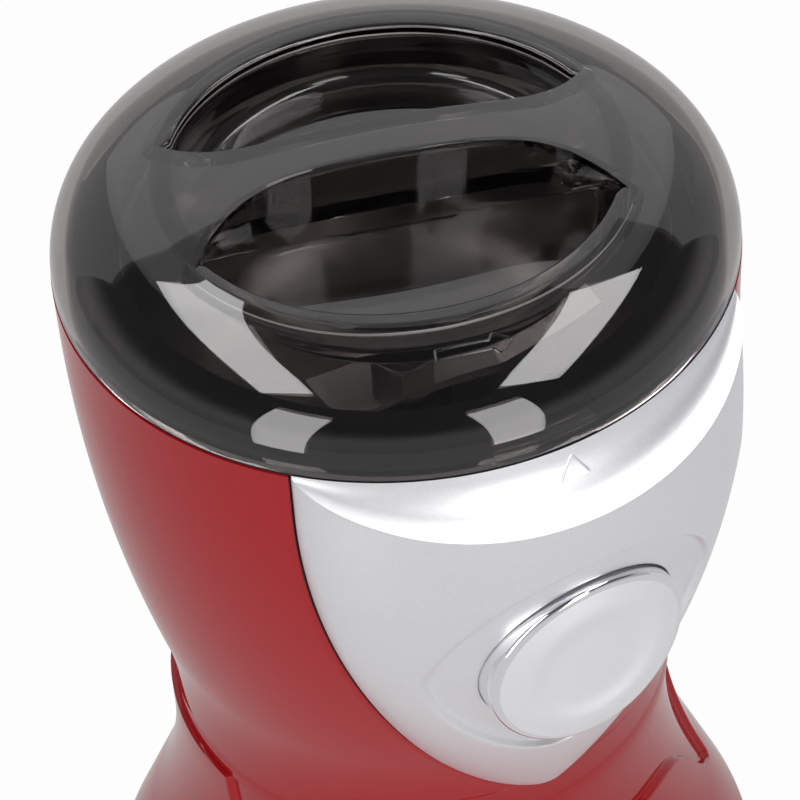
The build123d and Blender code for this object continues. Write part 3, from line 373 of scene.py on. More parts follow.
# --------------------------------------------------------------------------- shading
class Signal:
    """A socket or number in a material, with arithmetic that adds Math nodes."""

    def __init__(self, graph: "Graph", value: "bpy.types.NodeSocket | float") -> None:
        """Wraps a socket or number of one graph."""
        self.graph = graph
        self.value = value

    def _with(self, operation: str, first: object, second: object) -> "Signal":
        """Result of one Math node."""
        return self.graph.add("ShaderNodeMath", {"operation": operation}, {0: first, 1: second})

    def __add__(self, other: object) -> "Signal":
        """Sum."""
        return self._with("ADD", self, other)

    __radd__ = __add__

    def __sub__(self, other: object) -> "Signal":
        """Difference."""
        return self._with("SUBTRACT", self, other)

    def __rsub__(self, other: object) -> "Signal":
        """Difference from a number."""
        return self._with("SUBTRACT", other, self)

    def __mul__(self, other: object) -> "Signal":
        """Product."""
        return self._with("MULTIPLY", self, other)

    __rmul__ = __mul__

    def __pow__(self, other: object) -> "Signal":
        """Power."""
        return self._with("POWER", self, other)

    def most(self, other: object) -> "Signal":
        """Larger of the two."""
        return self._with("MAXIMUM", self, other)


class Graph:
    """Node tree of one material or world."""

    def __init__(
        self, owner: bpy.types.Material | bpy.types.World, end: str = "ShaderNodeOutputMaterial"
    ) -> None:
        """Empties the owner's tree and gives it an output node.

        Args:
            owner: Material or world that has the tree.
            end: Type name of the output node.
        """
        self.owner = owner
        owner.use_nodes = True
        self.tree = owner.node_tree
        self.tree.nodes.clear()
        self.output = self.tree.nodes.new(end)

    def add(
        self,
        kind: str,
        settings: dict[str, object] | None = None,
        inputs: dict[object, object] | None = None,
        out: int | str = 0,
    ) -> Signal:
        """Adds one node.

        Args:
            kind: Node type name.
            settings: Properties, or "stops" for a ramp's list of (place, colour).
            inputs: Values or signals by socket name or number.
            out: Which output the signal stands for.

        Returns:
            The output as a signal.
        """
        node = self.tree.nodes.new(kind)
        for key, value in (settings or {}).items():
            if key == "stops":
                ramp = node.color_ramp
                while len(ramp.elements) < len(value):
                    ramp.elements.new(0.5)
                for stop, (place, colour) in zip(ramp.elements, value):
                    stop.position, stop.color = place, colour
            else:
                setattr(node, key, value)
        for key, value in (inputs or {}).items():
            if isinstance(value, Signal):
                value = value.value
            if isinstance(value, bpy.types.NodeSocket):
                self.tree.links.new(value, node.inputs[key])
            elif value is not None:
                node.inputs[key].default_value = value
        return Signal(self, node.outputs[out])

    def place(self, scale: tuple[float, float, float] = (1, 1, 1)) -> Signal:
        """Object coordinates, scaled."""
        coords = self.add("ShaderNodeTexCoord", out="Object")
        return self.add("ShaderNodeMapping", inputs={"Vector": coords, "Scale": scale})

    def axes(self) -> tuple[Signal, ...]:
        """The three object coordinates, in metres."""
        split = self.add("ShaderNodeSeparateXYZ", inputs={0: self.place()})
        return tuple(Signal(self, socket) for socket in split.value.node.outputs)

    def rays(self, kind: str) -> Signal:
        """1 for rays of one kind and 0 for the others."""
        return self.add("ShaderNodeLightPath", out=kind)

    def noise(
        self, scale: float, detail: float = 2.0, stretch: tuple[float, float, float] = (1, 1, 1)
    ) -> Signal:
        """Noise from 0 to 1 over object coordinates, in features per metre.

        Args:
            scale: Features per metre.
            detail: Octaves of finer noise.
            stretch: Factors on the three coordinates.

        Returns:
            The noise as a signal.
        """
        return self.add(
            "ShaderNodeTexNoise",
            inputs={"Vector": self.place(stretch), "Scale": scale, "Detail": detail},
        )

    def ramp(self, value: Signal, start: float, stop: float) -> Signal:
        """Rises from 0 at start to 1 at stop and stays level beyond them.

        Args:
            value: Signal to map.
            start: Value that gives 0.
            stop: Value that gives 1.

        Returns:
            The mapped signal.
        """
        return self.add(
            "ShaderNodeMapRange",
            {"clamp": True},
            {"Value": value, "From Min": start, "From Max": stop},
        )

    def bump(self, height: Signal, distance: float, strength: float = 1.0) -> Signal:
        """Normal that follows a height, in metres.

        Args:
            height: Height as a share of the distance.
            distance: Height of a full step, in metres.
            strength: Share of the effect.

        Returns:
            The bent normal.
        """
        return self.add(
            "ShaderNodeBump",
            inputs={"Height": height, "Distance": distance, "Strength": strength},
        )

    def mix(self, factor: object, first: object, second: object) -> Signal:
        """Mix of two colours.

        Args:
            factor: Share of the second colour.
            first: Colour at 0.
            second: Colour at 1.

        Returns:
            The mixed colour.
        """
        return self.add(
            "ShaderNodeMix",
            {"data_type": "RGBA"},
            {0: factor, 6: first, 7: second},
            out=2,
        )

    def close(self, shader: Signal) -> None:
        """Links the last shader to the output."""
        self.tree.links.new(shader.value, self.output.inputs["Surface"])

    def surface(self, **sockets: object) -> bpy.types.Material:
        """Principled surface with sockets named in words joined by underscores.

        Args:
            **sockets: Values or signals by socket name.

        Returns:
            The tree's owner.
        """
        named = {key.replace("_", " "): value for key, value in sockets.items()}
        self.close(self.add("ShaderNodeBsdfPrincipled", inputs=named))
        return self.owner


Colour = tuple[float, float, float]


def opaque(colour: Colour, level: float = 1.0) -> tuple[float, float, float, float]:
    """Colour with full alpha, its brightness scaled."""
    return (colour[0] * level, colour[1] * level, colour[2] * level, 1.0)


@dataclass(frozen=True)
class Finish:
    """Base of every finish: a material made once and used by all its pieces."""

    slot: str

    def build(self, graph: Graph) -> bpy.types.Material:
        """Fills the graph; each kind of finish does its own."""
        raise NotImplementedError

    def material(self) -> bpy.types.Material:
        """The finish's material, made on first use.

        Returns:
            The dressed material.
        """
        name = f"{type(self).__name__}_{self.slot}"
        found = bpy.data.materials.get(name)
        return found or self.build(Graph(bpy.data.materials.new(name)))


@dataclass(frozen=True)
class SmokedClear(Finish):
    """Smoked transparent plastic with fine handling scratches.

    The painted shade on the ledge round the finger pits is told by its radii and height, in metres.
    """

    tint: Colour = (0.34, 0.315, 0.31)
    roughness: float = 0.015
    scratched: float = 0.06
    index: float = 1.57
    ledge_painted_shade: float = 0.36
    ledge_outer: float = 0.0358
    ledge_inner: float = 0.0324
    ledge_low: float = 0.1685
    ledge_fade: float = 0.0003
    ledge_rise: float = 0.0005
    relief: float = 0.0000024

    def build(self, graph: Graph) -> bpy.types.Material:
        """Tinted glass with fine scratches, and painted shade that darkens the tint on the ledge
        round the finger pits.

        Args:
            graph: Empty graph of the finish's material.

        Returns:
            The dressed material.
        """
        scratch = graph.noise(420, 3, (1, 7, 1)) ** 6.0
        across, depth, height = graph.axes()
        radius = (across * across + depth * depth) ** 0.5
        # painted shade: a ring over the ledge round the finger pits gets a darker tint
        within = graph.ramp(radius, self.ledge_outer, self.ledge_outer - self.ledge_fade)
        beyond = graph.ramp(radius, self.ledge_inner, self.ledge_inner + self.ledge_fade)
        above = graph.ramp(height, self.ledge_low, self.ledge_low + self.ledge_rise)
        return graph.surface(
            Base_Color=graph.mix(
                within * beyond * above, opaque(self.tint), opaque(self.tint, self.ledge_painted_shade)
            ),
            Roughness=scratch * self.scratched + self.roughness,
            IOR=self.index,
            Transmission_Weight=1.0,
            Normal=graph.bump(graph.noise(60, 1), self.relief, 0.6),
        )


@dataclass(frozen=True)
class GlossRed(Finish):
    """Deep red gloss moulding with a clear skin and faint moulding waves."""

    colour: Colour = (0.33, 0.008, 0.012)
    roughness: float = 0.34
    coat: float = 0.85

    def build(self, graph: Graph) -> bpy.types.Material:
        """Red with a slight mottle under a smooth coat.

        Args:
            graph: Empty graph of the finish's material.

        Returns:
            The dressed material.
        """
        mottle = graph.noise(900, 2)
        cloud = graph.noise(14, 2)
        shade = cloud * 0.35 + mottle * 0.25
        colour = graph.mix(shade, opaque(self.colour, 0.9), opaque(self.colour, 1.12))
        rough = self.roughness + (mottle - 0.5) * 0.08
        return graph.surface(
            Base_Color=colour,
            Roughness=rough,
            Specular_IOR_Level=0.0,
            Coat_Weight=self.coat,
            Coat_Roughness=0.03,
            Coat_IOR=1.4,
            Normal=graph.bump(graph.noise(26, 1), 0.00006, 0.3),
        )


@dataclass(frozen=True)
class SilverPaint(Finish):
    """Satin aluminium-flake paint."""

    colour: Colour = (0.82, 0.815, 0.842)
    roughness: float = 0.42

    def build(self, graph: Graph) -> bpy.types.Material:
        """Metal with a fine sparkle in its colour, gloss and relief.

        Args:
            graph: Empty graph of the finish's material.

        Returns:
            The dressed material.
        """
        flake = graph.noise(5200, 1)
        speck = graph.noise(1900, 2)
        shade = flake * 0.6 + speck * 0.2
        colour = graph.mix(shade, opaque(self.colour, 0.86), opaque(self.colour, 1.14))
        return graph.surface(
            Base_Color=colour,
            Roughness=self.roughness + (speck - 0.5) * 0.12,
            Metallic=0.82,
            Coat_Weight=0.25,
            Coat_Roughness=0.25,
            Normal=graph.bump(flake, 0.000012, 0.5),
        )


@dataclass(frozen=True)
class SatinChrome(Finish):
    """Plated plastic with polished sides round a satin face; places are in metres."""

    colour: Colour = (0.86, 0.855, 0.878)
    polish: float = 0.05
    satin: float = 0.42
    face_edge: float = 0.0155
    face_height: float = 0.1165
    face_fade: float = 0.0001
    face_metal: float = 0.75

    def build(self, graph: Graph) -> bpy.types.Material:
        """Sides and face told apart by the distance from the button's middle.

        Args:
            graph: Empty graph of the finish's material.

        Returns:
            The dressed material.
        """
        cloud = graph.noise(30, 3)
        dust = graph.noise(2400, 1)
        across, _, up = graph.axes()
        height = up - self.face_height
        radius = (across * across + height * height) ** 0.5
        face = graph.ramp(radius, self.face_edge + self.face_fade, self.face_edge - self.face_fade)
        rough = face * (self.satin - self.polish) + self.polish
        metal = opaque((self.face_metal, self.face_metal, self.face_metal))
        return graph.surface(
            Base_Color=graph.mix(dust * 0.3, opaque(self.colour), opaque(self.colour, 0.93)),
            Roughness=rough + cloud * 0.04,
            Metallic=graph.mix(face, opaque((1, 1, 1)), metal),
            Normal=graph.bump(dust, 0.000004, 0.3),
        )


@dataclass(frozen=True)
class Moulded(Finish):
    """Plain moulded plastic or rubber with a fine eroded grain."""

    colour: Colour = (0.02, 0.02, 0.021)
    roughness: float = 0.42
    grain: float = 1800.0
    depth: float = 0.00003

    def build(self, graph: Graph) -> bpy.types.Material:
        """Colour and gloss that vary a little with the grain.

        Args:
            graph: Empty graph of the finish's material.

        Returns:
            The dressed material.
        """
        grain = graph.noise(self.grain, 3)
        colour = graph.mix(grain, opaque(self.colour, 0.85), opaque(self.colour, 1.2))
        return graph.surface(
            Base_Color=colour,
            Roughness=self.roughness + (grain - 0.5) * 0.15,
            Normal=graph.bump(grain, self.depth, 0.5),
        )


@dataclass(frozen=True)
class BareMetal(Finish):
    """Turned, drawn or cast metal with lines or pits."""

    colour: Colour = (0.62, 0.62, 0.63)
    roughness: float = 0.25
    stretch: tuple[float, float, float] = (1, 1, 12)
    scale: float = 500.0
    depth: float = 0.00002

    def build(self, graph: Graph) -> bpy.types.Material:
        """Metal whose gloss and relief follow stretched noise.

        Args:
            graph: Empty graph of the finish's material.

        Returns:
            The dressed material.
        """
        lines = graph.noise(self.scale, 3, self.stretch)
        stain = graph.noise(45, 2)
        colour = graph.mix(stain, opaque(self.colour, 0.9), opaque(self.colour, 1.06))
        return graph.surface(
            Base_Color=colour,
            Roughness=self.roughness + (lines - 0.5) * 0.2,
            Metallic=1.0,
            Normal=graph.bump(lines, self.depth, 0.5),
        )


@dataclass(frozen=True)
class WoundWire(Finish):
    """Enamelled copper wire laid side by side."""

    colour: Colour = (0.55, 0.20, 0.07)
    pitch: float = 0.0006

    def build(self, graph: Graph) -> bpy.types.Material:
        """Bands one wire apart in relief, with painted shade darkening the colour in the grooves
        between the wires.

        Args:
            graph: Empty graph of the finish's material.

        Returns:
            The dressed material.
        """
        bands = graph.add(
            "ShaderNodeTexWave",
            {"wave_type": "BANDS", "bands_direction": "Z"},
            {"Vector": graph.place(), "Scale": 1 / self.pitch / 6.3, "Distortion": 0.6},
            out=1,
        )
        # painted shade: the colour darkens where the bands dip between the wires
        colour = graph.mix(bands, opaque(self.colour, 0.45), opaque(self.colour, 1.15))
        return graph.surface(
            Base_Color=colour,
            Roughness=0.3,
            Metallic=0.9,
            Coat_Weight=0.6,
            Normal=graph.bump(bands, 0.0002, 0.8),
        )


SMOKE = SmokedClear("smoked_clear")
RED = GlossRed("red_gloss")
SILVER = SilverPaint("silver_paint")
CHROME = SatinChrome("button_chrome")
BLACK = Moulded("black_plastic")
# steel colour, set darker than bare steel so that it also paints the shade inside the smoked lid
STEEL_BOWL = BareMetal("bowl_steel", (0.42, 0.415, 0.41), 0.38, (1, 1, 30), 300.0)
DRESSING: dict[str, Finish] = {
    "black_plastic": BLACK,
    "grey_plastic": Moulded("grey_plastic", (0.24, 0.24, 0.25), 0.5),
    "red_plastic": Moulded("red_plastic", (0.45, 0.03, 0.025), 0.4),
    "black_rubber": Moulded("black_rubber", (0.022, 0.022, 0.022), 0.75, 1200.0, 0.00008),
    "carbon": Moulded("carbon", (0.045, 0.045, 0.05), 0.6, 2600.0, 0.00006),
    "yellow_case": Moulded("yellow_case", (0.62, 0.42, 0.05), 0.3),
    "bowl_steel": STEEL_BOWL,
    "blade_steel": BareMetal("blade_steel", (0.68, 0.68, 0.69), 0.22, (14, 1, 1), 260.0),
    "zinc_steel": BareMetal("zinc_steel", (0.62, 0.62, 0.60), 0.35, (1, 1, 4), 900.0),
    "spring_steel": BareMetal("spring_steel", (0.46, 0.46, 0.47), 0.3, (1, 1, 1), 700.0),
    "bearing_steel": BareMetal("bearing_steel", (0.68, 0.68, 0.70), 0.18, (1, 1, 40), 300.0),
    "lamination_steel": BareMetal(
        "lamination_steel", (0.30, 0.29, 0.29), 0.45, (1, 1, 30), 60.0, 0.0001
    ),
    "cast_aluminium": BareMetal(
        "cast_aluminium", (0.56, 0.56, 0.57), 0.5, (1, 1, 1), 900.0, 0.00008
    ),
    "commutator_copper": BareMetal(
        "commutator_copper", (0.70, 0.33, 0.18), 0.25, (1, 1, 20), 300.0
    ),
    "brass_sheet": BareMetal("brass_sheet", (0.66, 0.50, 0.22), 0.3, (8, 1, 1), 300.0),
    "copper_wire": WoundWire("copper_wire"),
}


# --------------------------------------------------------------------------- outer form
@dataclass(frozen=True)
class HousingForm:
    """Sizes and formulas that the shell, the panel and the base share."""

    rim: float = 158.0
    shell_radius: float = 52.1
    shell_wall: float = 2.4
    band: float = 149.0
    taper_radius: float = 44.5
    taper: float = 86.0
    waist_radius: float = 42.3
    waist: float = 65.3
    seam: float = 64.3
    gap: float = 0.3
    panel_half: float = 36.8
    crease: float = 149.0
    crease_reach: float = 58.9
    crease_rise: float = 8.2
    tip: float = 72.5
    tip_reach: float = 43.6
    tip_share: float = 0.985
    fold_from: float = 136.0
    fold_power: float = 0.22

    def radius(self, height: np.ndarray | float) -> np.ndarray:
        """Shell's radius at heights: a straight band, a bulging arc and a hollow arc.

        The first arc leaves the band upright; the second leaves the first in line
        with it and ends at the waist.

        Args:
            height: Heights over the table.

        Returns:
            Radii at the heights.
        """
        z = np.asarray(height, float)
        drop, cut = self.band - self.taper, self.shell_radius - self.taper_radius
        bulge = (cut**2 + drop**2) / (2 * cut)
        lean = math.asin(drop / bulge)
        narrowing = self.taper_radius - self.waist_radius
        run = math.hypot(narrowing, self.taper - self.waist)
        hollow = run / (2 * math.sin(lean - math.asin(narrowing / run)))
        middle_r = self.taper_radius + hollow * math.cos(lean)
        middle_z = self.taper - hollow * math.sin(lean)
        fall = np.clip(self.band - z, 0, drop)
        upper = self.shell_radius - bulge + np.sqrt(bulge**2 - fall**2)
        lower = middle_r - np.sqrt(np.maximum(hollow**2 - (z - middle_z) ** 2, 0))
        return np.where(z >= self.taper, upper, lower)

    def share(self, height: np.ndarray) -> np.ndarray:
        """Share of the way from the panel's fold to its tip."""
        return np.clip((self.crease - height) / (self.crease - self.tip), 0, 1)

    def panel_width(self, height: np.ndarray) -> np.ndarray:
        """Half the panel's width: a superellipse-like taper to the tip."""
        return self.panel_half * (1 - self.share(height) ** 2) ** (2 / 3)

    def tip_height(self) -> float:
        """Height at which the panel's point is cut off."""
        return self.crease - self.tip_share * (self.crease - self.tip)

    def panel_reach(self, height: np.ndarray) -> np.ndarray:
        """Distance of the panel's middle line from the axis."""
        return self.crease_reach - (self.crease_reach - self.tip_reach) * self.share(height) ** 1.8

    def panel_point(self, swing: np.ndarray, height: np.ndarray, sink: float = 0.0) -> Points:
        """Point of the panel's front: half an ellipse at each height.

        Near the fold the ellipse's cosine is raised to a growing power, which draws
        its ends in.

        Args:
            swing: Angle from the middle line, a quarter turn at either edge.
            height: Height of the point.
            sink: How far the surface is moved inwards.

        Returns:
            Array of points.
        """
        width = self.panel_width(height)
        back = np.sqrt(self.radius(height) ** 2 - width**2)
        depth = self.panel_reach(height) - back
        climb = (height - self.fold_from) / (self.crease - self.fold_from)
        bulge = np.maximum(np.cos(swing), 0) ** (1 + self.fold_power * np.clip(climb, 0, 1.3))
        across = (width - sink) * np.sin(swing)
        return np.stack([across, -(back + (depth - sink) * bulge), height], axis=-1)


FORM = HousingForm()


# --------------------------------------------------------------------------- lid
@dataclass
class Lid:
    """Domed clear lid with a finger bar between two pits."""

    radius: float = 52.0
    wall: float = 2.0
    rim: float = 158.0
    rise: float = 19.3
    bar_turn: float = -16.0
    bar_half: float = 4.2
    near_flare: float = 13.2
    far_flare: float = 9.0
    bar_span: float = 33.0
    bead_outer: float = 35.8
    pit_floor: float = 163.5
    floor_half: float = 4.6
    floor_radius: float = 30.2
    bar_edge: tuple[float, float] = (0.6, 0.6)
    ring_edge: tuple[float, float] = (3.4, 2.4)
    ledge: float = 7.0
    corner_blend: int = 5
    bar_foot: float = 0.3
    ring_foot: float = 1.4
    bar_count: int = 112
    ring_count: int = 136
    plate: float = 40.0
    outer_drops: tuple[tuple[float, float], ...] = (
        (0, 0),
        (20, 1.7),
        (35.9, 5.3),
        (44, 7.9),
        (47, 9.7),
        (50, 12.5),
        (51.6, 15.9),
    )
    inner_drops: tuple[tuple[float, float], ...] = (
        (0, 2),
        (19.7, 3.7),
        (35.2, 7.2),
        (42.9, 9.7),
        (45.5, 11.2),
        (48.2, 13.7),
        (49.6, 16.6),
    )
    arrow_corners: tuple[tuple[float, float], ...] = (
        (-14.3, -39.2),
        (-6.3, -41.1),
        (-5.6, -42.2),
        (-3.2, -41.0),
        (-5.4, -39.0),
        (-6.1, -39.8),
        (-13.8, -37.8),
    )
    arrow_width: float = 0.22
    arrow_rise: float = 0.24
    lug_bearing: float = -4.0
    tab_bearing: float = 60.0
    dome: Points = field(init=False)
    hollow: Points = field(init=False)

    def __post_init__(self) -> None:
        """Works out the outer and inner meridians, from the crown out and down to the rim."""
        self.dome = self.meridian(self.outer_drops, self.radius)
        self.hollow = self.meridian(self.inner_drops, self.radius - self.wall)

    def meridian(self, drops: Sequence[Sequence[float]], radius: float) -> Points:
        """Smooth curve through points given as (radius, drop from the crown).

        Args:
            drops: Points from the crown outwards.
            radius: Radius at the rim.

        Returns:
            Rows of (radius, height).
        """
        top = self.rim + self.rise
        points = [(r, top - drop) for r, drop in drops] + [(radius, self.rim)]
        return smooth_curve(points, (1, 0), (0, -1), 1600)

    def outline(self, radius: float, half: float, flare: float) -> Points:
        """Loop round a pit at one level, in the bar's own directions.

        The loop runs along the bar's side, which flares with the fifth power towards
        its ends, and back along the ring. Both corners stay sharp.

        Args:
            radius: Radius of the ring side.
            half: Half the bar's width in its middle.
            flare: How much wider the bar is at its span.

        Returns:
            Loop of bar_count + ring_count points.
        """

        def edge(along: np.ndarray) -> np.ndarray:
            """Half width of the bar at distances from its middle."""
            return half + flare * (np.abs(along) / self.bar_span) ** 5

        span = np.linspace(0, radius, 6000)
        tip = span[np.argmin(np.abs(np.hypot(span, edge(span)) - radius))]
        along = np.linspace(-tip, tip, 2000)
        start = math.acos(tip / radius)
        angle = np.linspace(start, math.pi - start, 2000)
        bar = evenly(np.column_stack([along, edge(along)]), self.bar_count + 1)
        ring = radius * np.column_stack([np.cos(angle), np.sin(angle)])
        return np.vstack([bar[:-1], evenly(ring, self.ring_count + 1)[:-1]])

    def frame_loop(self, reach: float) -> Points:
        """Border of one half of the top: the bar's middle line and half a circle of a radius.

        Args:
            reach: The circle's radius.

        Returns:
            Loop of bar_count + ring_count points in plan.
        """
        along = np.linspace(-reach, reach, self.bar_count + 1)[:-1]
        angle = np.linspace(0, math.pi, self.ring_count + 1)[:-1]
        line = np.column_stack([along, 0 * along])
        return np.vstack([line, reach * np.column_stack([np.cos(angle), np.sin(angle)])])

    def half_top(self, profile: Points, reach: float, grow: float, flare: float) -> Patch:
        """Half of the lid's top with its pit.

        Rings run from the pit's middle over its floor, round the floor's edge, up the
        wall, over the rounded lip and out to the border. The wall is ruled between the
        floor's outline and the lip's. The lip is narrow and round at the bar; at the
        ring it is a superellipse, a flat ledge with a short round edge.

        Args:
            profile: Meridian of the surface.
            reach: Radius where the plain ring begins.
            grow: How far the surface lies behind the outer one.
            flare: How much wider the bar is at its ends.

        Returns:
            The patch in the bar's directions.
        """
        ring_side = np.concatenate([np.zeros(self.bar_count), np.ones(self.ring_count)])
        blend = range(-self.corner_blend, self.corner_blend + 1)
        ring_side = np.mean([np.roll(ring_side, step) for step in blend], axis=0)[:, None]

        def either(bar: float, ring: float) -> np.ndarray:
            """Value of the bar's side and the ring's side, blended at the corners."""
            return bar + (ring - bar) * ring_side

        def dome_height(plan: Points) -> np.ndarray:
            """Height of the meridian at plan points."""
            return np.interp(np.linalg.norm(plan, axis=-1), profile[:, 0], profile[:, 1])

        crest = self.outline(self.bead_outer, self.bar_half, flare)
        foot = self.outline(self.floor_radius, self.floor_half, 0.0)
        crest = crest + loop_normals(crest) * grow
        foot = foot + loop_normals(foot) * grow
        floor = self.pit_floor - grow
        run = crest - foot
        length = np.linalg.norm(run, axis=1)[:, None]
        run = run / length
        rise = either(self.bar_foot, self.ring_foot)
        rise_run = np.minimum(rise, length * 0.3)
        lip_run = np.minimum(either(self.bar_edge[0], self.ring_edge[0]), length * 0.6)
        lip_drop = either(self.bar_edge[1], self.ring_edge[1])
        power = 2 / either(2, self.ledge)
        top = dome_height(crest)[:, None]
        middle = foot.mean(axis=0)
        border = self.frame_loop(reach)
        rings: list[Points] = []
        for share in np.linspace(0, 1, 12)[:-1]:
            plan = middle + (foot - middle) * share
            rings.append(np.column_stack([plan, np.full(len(plan), floor)]))
        for across, up in zip(*quarter(6)):
            rings.append(np.hstack([foot + run * rise_run * across, floor + rise * up]))
        for share in np.linspace(0, 1, 9)[1:]:
            plan = foot + run * (rise_run + (length - lip_run - rise_run) * share)
            rings.append(np.hstack([plan, floor + rise + (top - lip_drop - floor - rise) * share]))
        for turn in np.linspace(0, math.pi / 2, 15)[1:]:
            plan = foot + run * (length - lip_run * np.cos(turn) ** power)
            rings.append(np.hstack([plan, top - lip_drop * (1 - np.sin(turn) ** power)]))
        for share in np.linspace(0, 1, 15)[1:]:
            plan = crest + (border - crest) * share
            rings.append(np.column_stack([plan, dome_height(plan)]))
        return Patch.grid(np.stack(rings), round_columns=True)

    def plain_ring(self, profile: Points, reach: float) -> Patch:
        """Ring from the half tops' border to the rim, on the same bearings as the border.

        Args:
            profile: Meridian of the surface.
            reach: The border's radius.

        Returns:
            The patch in the bar's directions.
        """
        near = np.searchsorted(profile[:, 0], reach)
        start = np.array([[reach, np.interp(reach, profile[:, 0], profile[:, 1])]])
        meridian = evenly(np.vstack([start, profile[near:]]), 44)
        angle = np.linspace(0, 2 * math.pi, 2 * self.ring_count, endpoint=False) + math.pi / 2
        return Patch.grid(around(meridian[:, :1], angle, meridian[:, 1:]), round_columns=True)

    def sector(
        self, radii: tuple[float, float], heights: tuple[float, float], middle: float, width: float
    ) -> Patch:
        """Closed block bent round the axis, for lugs and the drive tab.

        Args:
            radii: Inner and outer radius.
            heights: Lower and upper height.
            middle: Bearing of its middle, in degrees.
            width: Angle that it spans, in degrees.

        Returns:
            The patch, its section's corners rounded and its ends closed by flat caps.
        """
        (inner, outer), (low, high) = radii, heights
        corners = [(inner, low), (outer, low), (outer, high), (inner, high)]
        section = rounded_profile(corners, 0.3, 3)
        bearing = np.radians(np.linspace(middle - width / 2, middle + width / 2, 14))[:, None]
        points = around(section[:, 0], bearing, section[:, 1])
        centre = points.mean(axis=1, keepdims=True) * np.ones((1, len(section), 1))
        return Patch.grid(np.concatenate([centre[:1], points, centre[-1:]]), round_columns=True)

    def arrow(self) -> Patch:
        """Raised outline of the turning arrow on the shoulder, a rounded rib along its edges.

        Returns:
            The patch, open underneath.
        """
        loop = soften_loop(evenly(np.array(self.arrow_corners), 140, closed=True), 0.12)
        plan, share = rib(loop, self.arrow_width)
        dome = np.interp(np.linalg.norm(plan, axis=-1), self.dome[:, 0], self.dome[:, 1])
        height = dome + self.arrow_rise * share - self.arrow_rise / 8
        return Patch.grid(np.concatenate([plan, height[..., None]], axis=-1), round_columns=True)

    def make(self) -> None:
        """Builds the lid."""
        patches = []
        for flare, turn in ((self.far_flare, 0), (self.near_flare, 180)):
            patches.append(self.half_top(self.dome, self.plate, 0.0, flare).turned(turn))
            inner = self.half_top(self.hollow, self.plate, self.wall, flare)
            patches.append(inner.turned(turn).flipped())
        patches.append(self.plain_ring(self.dome, self.plate))
        patches.append(self.plain_ring(self.hollow, self.plate).flipped())
        patches = [patch.turned(self.bar_turn) for patch in patches]
        bearing = np.linspace(0, 2 * math.pi, 2 * self.ring_count, endpoint=False)
        edges = np.array([[self.radius], [self.radius - self.wall]])
        start = math.radians(self.bar_turn) + math.pi / 2
        patches.append(Patch.grid(around(edges, bearing + start, self.rim), round_columns=True))
        Piece("clear_lid", Patch.join(patches), SMOKE, "lid", ("lid",)).make()
        lugs = [self.lug_bearing + turn for turn in (0, 120, 240)]
        trim = [self.sector((48.2, 49.95), (158.2, 159.8), bearing, 18) for bearing in lugs]
        trim.append(self.sector((44.2, 45.8), (156.9, 165.9), self.tab_bearing, 8))
        Piece("lid_lugs", Patch.join(trim), SMOKE, "lid").make()
        Piece("turning_arrow", self.arrow(), SMOKE, "lid", skin=Skin.OPEN).make()


